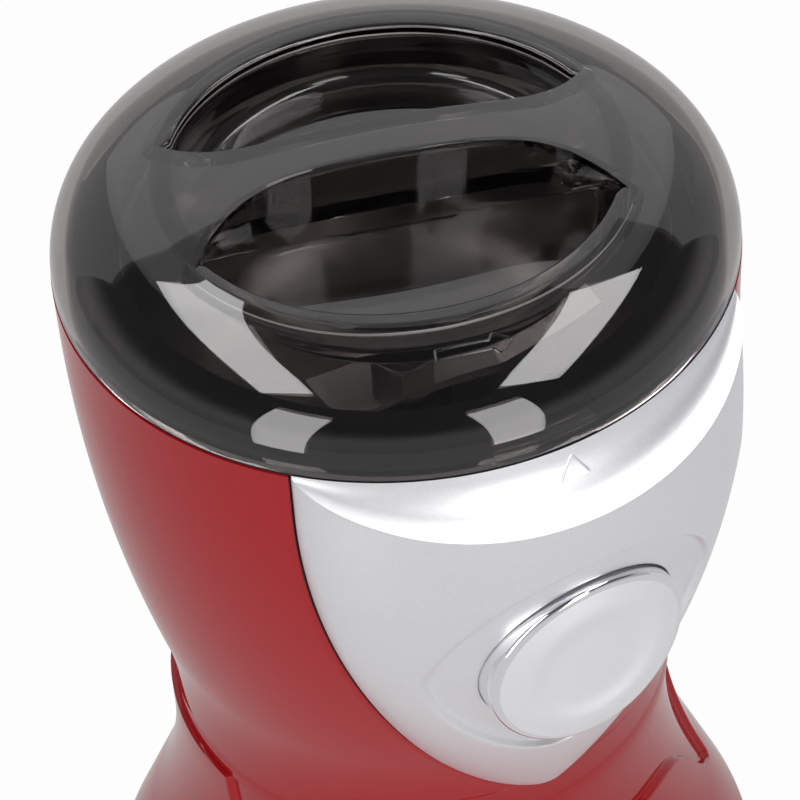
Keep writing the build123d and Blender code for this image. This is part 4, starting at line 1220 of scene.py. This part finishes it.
# --------------------------------------------------------------------------- upper shell
@dataclass
class UpperShell:
    """Red waisted shell with a pocket for the front panel and a window for the button."""

    pocket: float = 1.2
    line: float = 0.38
    edge: float = 0.25
    window: float = 20.9
    button: float = 116.5
    rows: int = 150
    columns: int = 220
    floor_columns: int = 8
    crease: float = 67.0
    crease_step: float = 0.12
    crease_run: float = 0.5
    rim_gap: float = 0.7
    shade: float = 2.5
    # the strip of painted shade sits this far above the pocket's floor
    shade_lift: float = 0.06

    def edge_swing(self, height: np.ndarray) -> np.ndarray:
        """Bearing of the pocket's edge at heights, in radians; 0 under the panel's tip.

        Args:
            height: Heights over the table.

        Returns:
            Bearings at the heights.
        """
        fade = 0.012
        share = (FORM.crease - height) / (FORM.crease - FORM.tip)
        half = np.where(share < FORM.tip_share, FORM.panel_width(height) + self.line, 0)
        near_tip = np.clip((FORM.tip_share + fade - share) / fade, 0, 1)
        return np.arcsin(half * np.sqrt(near_tip) / FORM.radius(height))

    def outside(self) -> Points:
        """Outer face, the step into the pocket and the pocket's floor.

        Each row is one height. Its columns cross the pocket's floor from the front,
        climb the step with a rounded edge and go round the back to the other side.
        Under the panel's tip the pocket has no width and no depth.

        Returns:
            Array of rows and columns of points.
        """
        high, low = FORM.rim - self.rim_gap, FORM.seam
        tip = FORM.tip_height()
        rows = [np.linspace(low, high, self.rows), np.linspace(tip - 1.5, tip + 4, 24)]
        heights = np.unique(np.concatenate(rows))[:, None]
        crease = np.clip((self.crease - heights) / self.crease_run, 0, 1) * self.crease_step
        radius, swing = FORM.radius(heights) + crease, self.edge_swing(heights)
        open_here = swing > 1e-6
        sink, edge = np.where(open_here, self.pocket, 0), np.where(open_here, self.edge, 0)
        start = swing + edge / radius
        floor = swing * np.linspace(0, 1, self.floor_columns)
        back = start + (2 * math.pi - 2 * start) * np.linspace(0, 1, self.columns)
        near = np.hstack([floor, swing, swing + edge * 0.3 / radius])
        depth = np.hstack([radius - sink + 0 * floor, radius - edge, radius - edge * 0.3])
        bearing = np.hstack([near, back, 2 * math.pi - near[:, :0:-1]])
        reach = np.hstack([depth, radius + 0 * back, depth[:, :0:-1]])
        return around(reach, bearing, heights)

    def painted_gap_shade(self) -> Patch:
        """Black strip over the pocket's floor and step round the panel, which paints the shade in
        the joint.

        Returns:
            The patch, with a strip on either side of the panel.
        """
        high = FORM.rim - FORM.gap - 0.1
        heights = np.linspace(FORM.tip_height(), high, 160)
        radius, swing = FORM.radius(heights), self.edge_swing(heights)
        floor, step = radius - self.pocket + self.shade_lift, swing - 0.04 / radius
        inner = np.maximum(swing - self.shade / radius, 0)
        rows = ((inner, floor), (step, floor), (step, radius - 0.3))
        patches = [
            Patch.grid(np.stack([around(reach, side * turn, heights) for turn, reach in rows]))
            for side in (1, -1)
        ]
        return Patch.join(patches)

    def make(self) -> None:
        """Builds the shell with its inner face, rims and window, the black strip of painted shade
        round the panel and the black ring in the gap under the lid's rim.
        """
        grid = self.outside()
        bearing = np.arctan2(grid[..., 0], -grid[..., 1])
        inner = FORM.radius(grid[:, :1, 2]) - FORM.shell_wall
        inside = around(inner, bearing, grid[..., 2])
        ends = [np.stack([inside[-1], grid[-1]]), np.stack([grid[0], inside[0]])]
        patches = [Patch.grid(rows, round_columns=True) for rows in (grid, inside[::-1], *ends)]
        shell = Piece("red_shell", Patch.join(patches), RED, "housing", ("body_shell",)).make()
        self.cut_window(shell)
        # black strip that paints the shade in the joint round the panel
        Piece("panel_gap_painted_shade", self.painted_gap_shade(), BLACK, "housing", skin=Skin.OPEN).make()
        low, high = FORM.rim - self.rim_gap - 0.1, FORM.rim - 0.05
        ring = rounded_profile([(50.6, low), (51.7, low), (51.7, high), (50.6, high)], 0.15, 2)
        Piece("rim_gap", revolve(ring, 240), BLACK, "housing").make()

    def cut_window(self, shell: bpy.types.Object) -> None:
        """Cuts the button's round window through the wall and keeps the result as the mesh.

        Args:
            shell: The shell's object.
        """
        mesh = bpy.data.meshes.new("window_cutter")
        tool = bmesh.new()
        bmesh.ops.create_cone(
            tool,
            cap_ends=True,
            segments=96,
            radius1=self.window * MM,
            radius2=self.window * MM,
            depth=0.02,
            matrix=Matrix.Translation(Vector((0, -48, self.button)) * MM)
            @ Matrix.Rotation(math.pi / 2, 4, "X"),
        )
        tool.to_mesh(mesh)
        tool.free()
        cutter = bpy.data.objects.new("window_cutter", mesh)
        bpy.context.scene.collection.objects.link(cutter)
        cut = shell.modifiers.new("window", "BOOLEAN")
        cut.operation, cut.solver, cut.object = "DIFFERENCE", "EXACT", cutter
        view = bpy.context.evaluated_depsgraph_get()
        baked = bpy.data.meshes.new_from_object(shell.evaluated_get(view))
        shell.modifiers.clear()
        shell.data = baked
        bpy.data.objects.remove(cutter, do_unlink=True)


# --------------------------------------------------------------------------- front panel
@dataclass
class FrontPanel:
    """Silver panel that bulges under the lid, with a scooped lip and a recess."""

    button: float = 116.5
    hole: float = 17.25
    hole_edge: float = 0.35
    recess: float = 1.2
    recess_half: float = 25.2
    recess_middle: float = 118.0
    recess_top: float = 139.3
    recess_tip: float = 89.5
    step: float = 0.7
    tuck: float = 1.0
    hole_depth: float = 2.5
    count: int = 400
    lip_rows: int = 30
    lip_columns: int = 161
    scoop_down: float = 1.7
    scoop_level: float = 0.6
    chin: tuple[tuple[float, float], ...] = ((22.2, -9.0), (12.5, -21.5))
    triangle_corners: tuple[tuple[float, float], ...] = ((-2.9, 152.6), (1.7, 152.6), (-0.6, 156.0))
    triangle_width: float = 0.2
    triangle_rise: float = 0.34

    def recess_loop(self) -> Points:
        """Outline of the recess in (x, z): a round brow over a chin that narrows to a point.

        Returns:
            Loop of (x, z) points at even lengths.
        """
        half, middle = self.recess_half, self.recess_middle
        sag = self.recess_top - middle
        radius = (half**2 + sag**2) / (2 * sag)
        reach = math.asin(half / radius)
        angle = np.linspace(-reach, reach, 400)
        across, up = radius * np.sin(angle), radius * np.cos(angle)
        brow = np.column_stack([across, self.recess_top - radius + up])
        right = [(half, middle)] + [(x, middle + drop) for x, drop in self.chin]
        left = [(-x, z) for x, z in right[::-1]]
        chin = smooth_curve([*right, (0, self.recess_tip), *left], (-0.1, -1), (-0.1, 1), 800)
        loop = np.vstack([brow[:-1], chin[:-1]])[::-1]
        return soften_loop(evenly(loop, 1200, closed=True), 0.8)

    def ray_to(self, loop: Points, angle: np.ndarray) -> Points:
        """Where rays from the button's centre at given angles meet a loop round it.

        Args:
            loop: Loop of (x, z) points.
            angle: Angles from +X upwards.

        Returns:
            Rows of (x, z), one for each angle.
        """
        centred = loop - np.array([0, self.button])
        bearing = np.unwrap(np.arctan2(centred[:, 1], centred[:, 0]))
        if bearing[-1] < bearing[0]:
            bearing, centred = bearing[::-1], centred[::-1]
        reach = np.linalg.norm(centred, axis=1)
        start = bearing[0]
        shifted = (angle - start) % (2 * math.pi) + start
        full_bearing = np.concatenate([bearing, [bearing[0] + 2 * math.pi]])
        full_reach = np.concatenate([reach, [reach[0]]])
        found = np.interp(shifted, full_bearing, full_reach)
        return np.column_stack([found * np.cos(angle), self.button + found * np.sin(angle)])

    def to_swing(self, flat: Points) -> Points:
        """Turns (x, z) into (swing, z), swing being the ellipse's own angle."""
        width = FORM.panel_width(flat[:, 1])
        return np.column_stack([np.arcsin(np.clip(flat[:, 0] / width, -1, 1)), flat[:, 1]])

    def fold_height(self, swing: np.ndarray) -> np.ndarray:
        """Height of the fold: where the panel's front meets the tilted plane through it.

        Solved by repeating z = crease + slope * (reach - distance), which settles fast.

        Args:
            swing: Angles from the middle line.

        Returns:
            Heights of the fold.
        """
        slope = FORM.crease_rise / (FORM.crease_reach - FORM.panel_half)
        height = np.full_like(swing, FORM.crease)
        for _ in range(40):
            distance = -FORM.panel_point(swing, height)[..., 1]
            height = 0.5 * height + 0.5 * (FORM.crease + slope * (FORM.crease_reach - distance))
        return np.minimum(height, FORM.rim - 0.8)

    def border(self, angle: np.ndarray) -> Points:
        """Border in (swing, z) for the rings' angles, found along rays in that plane.

        The sides are a quarter turn of swing, the foot is the tip's height and the top
        is the fold.

        Args:
            angle: Angles from +X upwards.

        Returns:
            Rows of (swing, z), one for each angle.
        """
        quarter_turn = math.pi / 2
        scale = 26.0
        low = (FORM.tip_height() - self.button) / scale
        corner_low = math.atan2(low, quarter_turn)
        half = 200
        swings = np.linspace(quarter_turn, -quarter_turn, 2 * half)
        folds = (self.fold_height(swings) - self.button) / scale
        bearings = np.arctan2(folds, swings)
        turn = (angle + math.pi) % (2 * math.pi) - math.pi
        side = np.where(np.cos(turn) >= 0, 1.0, -1.0)
        mirrored = np.where(turn >= 0, math.pi - turn, -math.pi - turn)
        bearing = np.where(side > 0, turn, mirrored)
        over, under = bearing > bearings[0], bearing < corner_low
        over_swing = np.clip(np.interp(bearing, bearings[:half], swings[:half]), 0, quarter_turn)
        over_height = np.interp(over_swing, swings[::-1], folds[::-1])
        slanted = under & (np.abs(bearing) < quarter_turn - 1e-9)
        under_swing = np.where(slanted, low / np.tan(np.where(slanted, bearing, 1.0)), 0.0)
        swing = np.select([over, under], [over_swing, under_swing], quarter_turn)
        height = np.select([over, under], [over_height, low], quarter_turn * np.tan(bearing))
        return np.column_stack([side * swing, self.button + height * scale])

    def front(self) -> Points:
        """Face from the button's hole over the recess to the border.

        Rings go up the hole's side and round its edge, over the recess's floor, up its
        smooth step and out to the border, which they reach with growing distances.

        Returns:
            Array of rings of points.
        """
        angle = np.linspace(0, 2 * math.pi, self.count, endpoint=False)
        ring = np.column_stack([np.cos(angle), np.sin(angle)])
        centre = np.array([0, self.button])
        hole = centre + self.hole * ring
        edge = centre + (self.hole + self.hole_edge) * ring
        outer = self.ray_to(self.recess_loop(), angle)
        outward = outer - centre
        inner = outer - outward / np.linalg.norm(outward, axis=1)[:, None] * self.step

        def face(swing: Points, sink: float = 0.0, back: float = 0.0) -> Points:
            """Points of the panel's front at (swing, z), sunk along it and moved back."""
            return FORM.panel_point(swing[:, 0], swing[:, 1], sink) + np.array([0, back, 0])

        side = (self.hole_depth, self.hole_edge)
        rows = [face(self.to_swing(hole), self.recess, back) for back in side]
        for up, across in list(zip(*quarter(4)))[1:]:
            swing = self.to_swing(hole + (edge - hole) * across)
            rows.append(face(swing, self.recess, self.hole_edge * (1 - up)))
        start, foot, brink = self.to_swing(edge), self.to_swing(inner), self.to_swing(outer)
        for share in np.linspace(0, 1, 12)[1:]:
            rows.append(face(start + (foot - start) * share, self.recess))
        for share in np.linspace(0, 1, 8)[1:]:
            rows.append(face(foot + (brink - foot) * share, self.recess * (1 - smooth_step(share))))
        border = self.border(angle)
        for share in np.linspace(0, 1, 44)[1:]:
            rows.append(face(brink + (border - brink) * (1 - (1 - share) ** 1.35)))
        return np.stack(rows)

    def lip(self) -> Points:
        """Scooped lip from the fold up to the lid's rim.

        Each line is a Hermite curve that leaves the rim straight down and reaches the
        fold almost level, so the scoop is round at its bottom.

        Returns:
            Array of rows from the rim down to the fold.
        """
        swing = np.linspace(-math.pi / 2, math.pi / 2, self.lip_columns)
        fold = FORM.panel_point(swing, self.fold_height(swing))
        bearing = np.arctan2(fold[:, 0], -fold[:, 1])
        rim = around(FORM.shell_radius, bearing, FORM.rim - FORM.gap)
        gap = np.linalg.norm(fold - rim, axis=1)[:, None]
        down = np.array([0, 0, -1.0]) * gap * self.scoop_down
        level = around(1.0, bearing, -0.28) * gap * self.scoop_level
        return hermite(np.linspace(0, 1, self.lip_rows)[:, None, None], rim, down, fold, level)

    def triangle(self) -> Patch:
        """Raised outline of the pointer triangle on the lip, which its middle line places.

        Returns:
            The patch, open at its back.
        """
        loop = evenly(np.array(self.triangle_corners), 120, closed=True)
        flat, share = rib(soften_loop(loop, 0.1), self.triangle_width)
        middle = self.lip()[:, self.lip_columns // 2]
        scoop = np.interp(flat[..., 1], middle[::-1, 2], -middle[::-1, 1])
        reach = scoop + self.triangle_rise * share - 0.04
        y = -np.sqrt(reach**2 - flat[..., 0] ** 2)
        return Patch.grid(np.stack([flat[..., 0], y, flat[..., 1]], axis=-1), round_columns=True)

    def make(self) -> None:
        """Builds the panel with its lip, its tucked-in border and the pointer."""
        front = self.front()
        edge = front[-1]
        inward = edge + np.array([0, self.tuck, 0])
        inward[:, :2] *= (1 - 0.6 / np.linalg.norm(inward[:, :2], axis=1))[:, None]
        under_lip = edge[:, 2] >= FORM.rim - 1.5
        inward[under_lip] = edge[under_lip] + np.array([0, 0.4, -0.4])
        loops = [Patch.grid(rows, round_columns=True) for rows in (front, np.stack([edge, inward]))]
        patch = Patch.join([*loops, Patch.grid(self.lip())])
        Piece("silver_panel", patch, SILVER, "housing", ("front_panel",)).make()
        Piece("pointer_mark", self.triangle(), SILVER, "housing", skin=Skin.OPEN).make()


# --------------------------------------------------------------------------- push button
@dataclass
class PushButton:
    """Plated button whose face bends with the panel round it.

    Its profile is given as (radius, distance in front of the axis).
    """

    height: float = 116.5
    radius: float = 16.6
    edge: float = 57.5
    corner: float = 0.75
    back: float = 48.5
    bend: float = 0.012
    lean: float = 0.03
    bend_from: float = 52.0
    bend_run: float = 3.0
    count: int = 180
    stem: tuple[tuple[float, float], ...] = ((0, 45.2), (3.0, 45.2), (3.0, 54.4), (14.3, 54.4))
    flange: float = 17.6
    crown: tuple[tuple[float, float], ...] = ((13.6, 58.0), (12.2, 58.26), (11.2, 58.3))
    dish: tuple[tuple[float, float], ...] = ((10.3, 58.15), (8.8, 57.75), (5, 57.55), (0, 57.5))

    def make(self) -> None:
        """Builds the cap: side, polished edge, crowned satin rim and shallow dish.

        In front of bend_from the disc bends back with the square of x and leans with
        z, growing over bend_run.
        """
        sine, lift = quarter(8)
        corner = np.column_stack(
            [self.radius - self.corner * lift, self.edge - self.corner + self.corner * sine]
        )
        crown = smooth_curve(
            [(self.radius - self.corner, self.edge), *self.crown], (-0.97, 0.25), (-1, 0.0), 16
        )
        dish = smooth_curve([self.crown[-1], *self.dish], (-1, 0), (-1, 0), 22)
        skirt = [
            (self.stem[-1][0], self.back - 1.0),
            (self.flange, self.back - 1.0),
            (self.flange, self.back),
            (self.radius, self.back),
        ]
        profile = np.vstack([self.stem, skirt, corner, crown[1:], dish[1:]])
        angle = np.linspace(0, 2 * math.pi, self.count, endpoint=False)
        radius, reach = profile[:, :1], profile[:, 1:]
        x, z = radius * np.cos(angle), radius * np.sin(angle)
        share = np.clip((reach - self.bend_from) / self.bend_run, 0, 1)
        bent = share * (0.5 * self.bend * x**2 - self.lean * z)
        points = np.stack([x, bent - reach, self.height + z], axis=-1)
        patch = Patch.grid(points, round_columns=True)
        Piece("push_button", patch, CHROME, "button", ("button_cap",)).make()


# --------------------------------------------------------------------------- base
@dataclass
class Base:
    """Red flared base with a raised rear and a raised arch in front."""

    top: float = 64.0
    foot: float = 3.0
    neck: float = 42.1
    straight: float = 59.0
    flare_radius: float = 49.4
    flare: float = 23.0
    foot_radius: float = 58.0
    wall: float = 2.5
    raised: float = 1.18
    ramp: float = 0.7
    arch: tuple[tuple[float, float], ...] = (
        (0, 49.1),
        (15, 48.7),
        (29, 47.4),
        (39, 45.6),
        (49, 41.3),
        (57, 34),
        (61, 28.6),
        (65, 24),
        (70, 20),
    )
    rear_edge: tuple[float, float] = (71.0, 77.0)
    rear_ramp: float = 1.0
    spigot: tuple[tuple[float, float], ...] = ((37.6, 60), (37.6, 70), (39.6, 70))
    columns: int = 360

    def radius(self, height: np.ndarray) -> np.ndarray:
        """Lower shell's radius: straight neck, hollow arc, then a straight slope.

        Args:
            height: Heights over the table.

        Returns:
            Radii at the heights.
        """
        z = np.asarray(height, float)
        drop, out = self.straight - self.flare, self.flare_radius - self.neck
        arc = (out**2 + drop**2) / (2 * out)
        curve = self.neck + arc - np.sqrt(arc**2 - np.clip(self.straight - z, 0, drop) ** 2)
        slope = (self.foot_radius - self.flare_radius) / (self.flare - self.foot)
        return np.where(z < self.flare, self.flare_radius + slope * (self.flare - z), curve)

    def field_top(self, bearing: np.ndarray) -> np.ndarray:
        """Height that the raised front reaches at bearings from the front, in degrees.

        It follows the arch, given as (bearing, height), down to the notch, and stays
        level from there round the rear.

        Args:
            bearing: Bearings from the front, in degrees.

        Returns:
            Heights.
        """
        side = np.abs((bearing + 180) % 360 - 180)
        arch = smooth_curve(self.arch, (1, 0), (0.8, -0.6), 600)
        return np.interp(side, arch[:, 0], arch[:, 1])

    def rear_share(self, bearing: np.ndarray, height: np.ndarray) -> np.ndarray:
        """How far the rear field is raised, 0 to 1: it ends at a nearly upright edge.

        Args:
            bearing: Bearings from the front, in degrees.
            height: Heights over the table.

        Returns:
            Shares, broadcast together.
        """
        side = np.abs((bearing + 180) % 360 - 180)
        edge = np.interp(height, [self.arch[-1][1], self.top], self.rear_edge)
        return smooth_step(np.clip((side - edge) / self.rear_ramp, 0, 1))

    def make(self) -> None:
        """Builds the skirt with its inner face and the spigot that enters the upper shell.

        Columns are bearings, closer together at the rear field's edges. Rows are
        heights that follow the front field's edge, so that its ramp stays narrow.
        """
        bearing = np.linspace(0, 360, self.columns, endpoint=False)
        fine = np.linspace(self.rear_edge[0] - 2, self.rear_edge[1] + 3, 60)
        bearing = np.unique(np.concatenate([bearing, fine, 360 - fine]).round(4))
        swing = np.radians(bearing)[None]
        line = self.field_top(bearing)[None]
        below = self.foot + (line - self.foot) * np.linspace(0, 1, 60)[:, None]
        step = np.linspace(0, 1, 7)[1:-1, None]
        edge = np.minimum(line + self.ramp * step, self.top)
        start = np.minimum(line + self.ramp, self.top)
        above = start + (self.top - start) * np.linspace(0, 1, 50)[:, None]
        heights = np.vstack([below, edge, above])
        front = np.vstack([0 * below + 1, 0 * edge + 1 - smooth_step(step), 0 * above])
        lift = self.raised * np.maximum(front, self.rear_share(bearing[None], heights))
        outside = around(self.radius(heights) + lift, swing, heights)
        inner_z = np.linspace(self.foot, 60, 40)[:, None]
        inside = around(self.radius(inner_z) - self.wall, swing, inner_z)
        collar = np.array([*self.spigot, (self.spigot[-1][0], self.top)])
        spigot = around(collar[:, :1], swing, collar[:, 1:])
        loop = np.concatenate([outside, spigot[::-1], inside[::-1]])
        patch = Patch.grid(loop, round_rows=True, round_columns=True)
        Piece("red_base", patch, RED, "housing", ("base_skirt",)).make()


# --------------------------------------------------------------------------- bowl
@dataclass
class Bowl:
    """Drawn steel bowl with a turned-out flange."""

    radius: float = 40.5
    wall: float = 0.7
    floor: float = 124.0
    corner: float = 15.0
    flange: float = 42.9
    rim: float = 158.7
    neck: float = 5.3

    def make(self) -> None:
        """Builds the bowl as one turned profile."""
        turn = np.linspace(0, math.pi / 2, 24)
        arc = np.column_stack([np.sin(turn), -np.cos(turn)])
        centre = np.array([self.radius - self.corner, self.floor + self.corner])
        outer, inner = centre + (self.corner + self.wall) * arc, centre + self.corner * arc
        lip = self.rim - self.wall
        edge = [
            (self.radius + self.wall, lip),
            (self.flange, lip),
            (self.flange, self.rim),
            (self.radius + 0.6, self.rim),
            (self.radius, self.rim - 0.6),
        ]
        low, high = [(self.neck, self.floor - self.wall)], [(self.neck, self.floor)]
        profile = np.vstack([low, outer, edge, inner[::-1], high])
        Piece("steel_bowl", revolve(profile, 160), STEEL_BOWL, "housing", ("bowl",)).make()


# --------------------------------------------------------------------------- inner parts
class InnerParts:
    """Nodes that keep their solids and only get a finish."""

    def dress(self, replaced: Iterable[str]) -> None:
        """Gives every other node the material of its slot.

        Args:
            replaced: Names of nodes that scene pieces stand for.
        """
        slots = {part["node"]: part["material_slot"] for part in frame["record"]["subparts"]}
        hidden = set(replaced)
        for name, node in frame["nodes"].items():
            finish = DRESSING.get(slots.get(name, ""))
            if name in hidden or finish is None:
                continue
            node.data.materials.clear()
            node.data.materials.append(finish.material())
            LOG.info("%s: %s", name, finish.slot)


# --------------------------------------------------------------------------- studio
@dataclass
class Softbox:
    """One rectangular lamp, placed in metres in the camera's own directions."""

    name: str
    centre: tuple[float, float, float]
    width: float
    length: float
    radiance: float
    target: tuple[float, float, float] = (0.0, 0.0, 0.12)


@dataclass
class Studio:
    """Camera, lamps, floor and world."""

    elevation: float = 44.48
    roll: float = -3.78
    distance: float = 481.4
    focal: float = 3029.6
    aside: float = -0.89
    down: float = -35.39
    heading: float = 26.2
    pixels: float = 800.0
    horizon: tuple[float, float] = (0.28, 0.46)
    overhead: float = 0.10
    fill: float = 0.10
    gloss: float = 0.42
    floor_gloss: float = 0.36
    floor_rays: tuple[tuple[str, float], ...] = (
        ("Is Camera Ray", 0.95),
        ("Is Glossy Ray", 1.0),
        ("Is Transmission Ray", 0.8),
    )
    lamps: tuple[Softbox, ...] = (
        Softbox("left_strip", (-0.47, 0.11, 1.12), 0.26, 0.92, 6.0),
        Softbox("right_strip", (0.54, 0.02, 1.12), 0.32, 0.88, 6.0),
        Softbox("left_front", (-0.60, -0.80, 0.45), 0.30, 1.2, 4.6),
        Softbox("right_front", (0.52, -0.86, 0.45), 0.30, 1.2, 4.6),
        Softbox("rear_wall", (0.0, 1.36, 1.38), 2.2, 1.5, 0.5),
    )

    def turn(self, vector: Sequence[float]) -> Vector:
        """Carries a vector from the camera's upright directions into the object's."""
        return Matrix.Rotation(-math.radians(self.heading), 3, "Z") @ Vector(vector)

    def camera(self) -> None:
        """Places the camera from its elevation, roll and distance."""
        tilt, roll = math.radians(self.elevation), math.radians(self.roll)
        back = Vector((0, -math.cos(tilt), math.sin(tilt)))
        place = Vector((self.aside, 0, self.down + FORM.rim)) + back * self.distance
        right = Vector((1, 0, 0))
        up = back.cross(right)
        rolled = math.cos(roll) * right + math.sin(roll) * up
        upward = -math.sin(roll) * right + math.cos(roll) * up
        data = bpy.data.cameras.new("camera")
        data.sensor_fit = "HORIZONTAL"
        data.sensor_width = 36
        data.lens = self.focal / self.pixels * 36
        data.clip_start = 0.01
        lens = bpy.data.objects.new("camera", data)
        bpy.context.scene.collection.objects.link(lens)
        axes = [self.turn(axis) for axis in (rolled, upward, back)]
        matrix = Matrix([[axes[column][row] for column in range(3)] for row in range(3)]).to_4x4()
        matrix.translation = self.turn(place) * MM
        lens.matrix_world = matrix
        bpy.context.scene.camera = lens

    def light(self) -> None:
        """Hangs the lamps; power is radiance times area times pi."""
        for box in self.lamps:
            data = bpy.data.lights.new(box.name, "AREA")
            data.shape = "RECTANGLE"
            data.size, data.size_y = box.width, box.length
            data.energy = box.radiance * box.width * box.length * math.pi
            lamp = bpy.data.objects.new(box.name, data)
            bpy.context.scene.collection.objects.link(lamp)
            place = self.turn(box.centre)
            away = (place - self.turn(box.target)).normalized()
            along = self.turn((0, 1, 0)) if box.centre[2] > 1 else Vector((0, 0, 1))
            side = along.cross(away).normalized()
            upward = away.cross(side).normalized()
            matrix = Matrix([[side[r], upward[r], away[r]] for r in range(3)]).to_4x4()
            matrix.translation = place
            lamp.matrix_world = matrix

    def floor(self) -> None:
        """Lays the pale floor and its far, rising end as one swept surface."""
        side = [(-3, 0), (1.2, 0), (2.0, 0.25), (2.4, 1.2), (2.4, 3)]
        line = smooth_curve(side, (1, 0), (0, 1), 60)
        across = np.linspace(-4, 4, 5)
        strips = [np.column_stack([0 * line[:, 0] + x, line]) for x in across]
        patch = Patch.grid(np.stack(strips)).turned(-self.heading)
        mesh = bpy.data.meshes.new("floor")
        mesh.from_pydata(patch.points.tolist(), [], patch.quads.tolist())
        mesh.polygons.foreach_set("use_smooth", [True] * len(mesh.polygons))
        floor = bpy.data.objects.new("floor", mesh)
        bpy.context.scene.collection.objects.link(floor)
        graph = Graph(bpy.data.materials.new("floor_paper"))
        seen = sum(graph.rays(kind) * share for kind, share in self.floor_rays)
        strength = 1.0 - graph.rays("Is Glossy Ray") * self.floor_gloss
        grain = graph.mix(
            graph.noise(300, 2), opaque((0.84, 0.84, 0.84)), opaque((0.88, 0.88, 0.88))
        )
        paper = graph.add("ShaderNodeBsdfDiffuse", inputs={"Color": grain})
        glow = graph.add(
            "ShaderNodeEmission", inputs={"Color": opaque((1, 1, 1)), "Strength": strength}
        )
        both = {0: graph.ramp(seen, 0.0, 1.0), 1: paper, 2: glow}
        graph.close(graph.add("ShaderNodeMixShader", inputs=both))
        mesh.materials.append(graph.owner)

    def world(self) -> None:
        """World that is white to the eye; gloss and clear plastic see it darken overhead."""
        world = bpy.data.worlds.new("studio")
        graph = Graph(world, "ShaderNodeOutputWorld")
        coords = graph.add("ShaderNodeTexCoord", out="Generated")
        sky = graph.add(
            "ShaderNodeMapRange",
            inputs={
                "Value": graph.add("ShaderNodeSeparateXYZ", inputs={0: coords}, out=2),
                "From Min": self.horizon[0],
                "From Max": self.horizon[1],
                "To Min": 1.0,
                "To Max": self.overhead,
            },
        )
        gloss = graph.rays("Is Glossy Ray") * self.gloss
        shown = gloss.most(graph.rays("Is Transmission Ray")) * sky
        strength = graph.rays("Is Camera Ray").most(shown.most(self.fill))
        inputs = {"Color": opaque((1, 1, 1)), "Strength": strength}
        graph.close(graph.add("ShaderNodeBackground", inputs=inputs))
        bpy.context.scene.world = world

    def make(self) -> None:
        """Sets up everything round the object."""
        self.camera()
        self.light()
        self.floor()
        self.world()
        bpy.context.scene.view_settings.view_transform = "Standard"


def main() -> None:
    """Builds the scene in order and reports each piece."""
    logging.basicConfig(level=logging.INFO, format="%(name)s %(message)s")
    Studio().make()
    for assembly in (Lid(), UpperShell(), FrontPanel(), PushButton(), Base(), Bowl()):
        LOG.info("building %s", type(assembly).__name__)
        assembly.make()
    replaced = ("lid", "body_shell", "front_panel", "button_cap", "base_skirt", "bowl")
    InnerParts().dress(replaced)


if __name__ == "__main__":
    main()
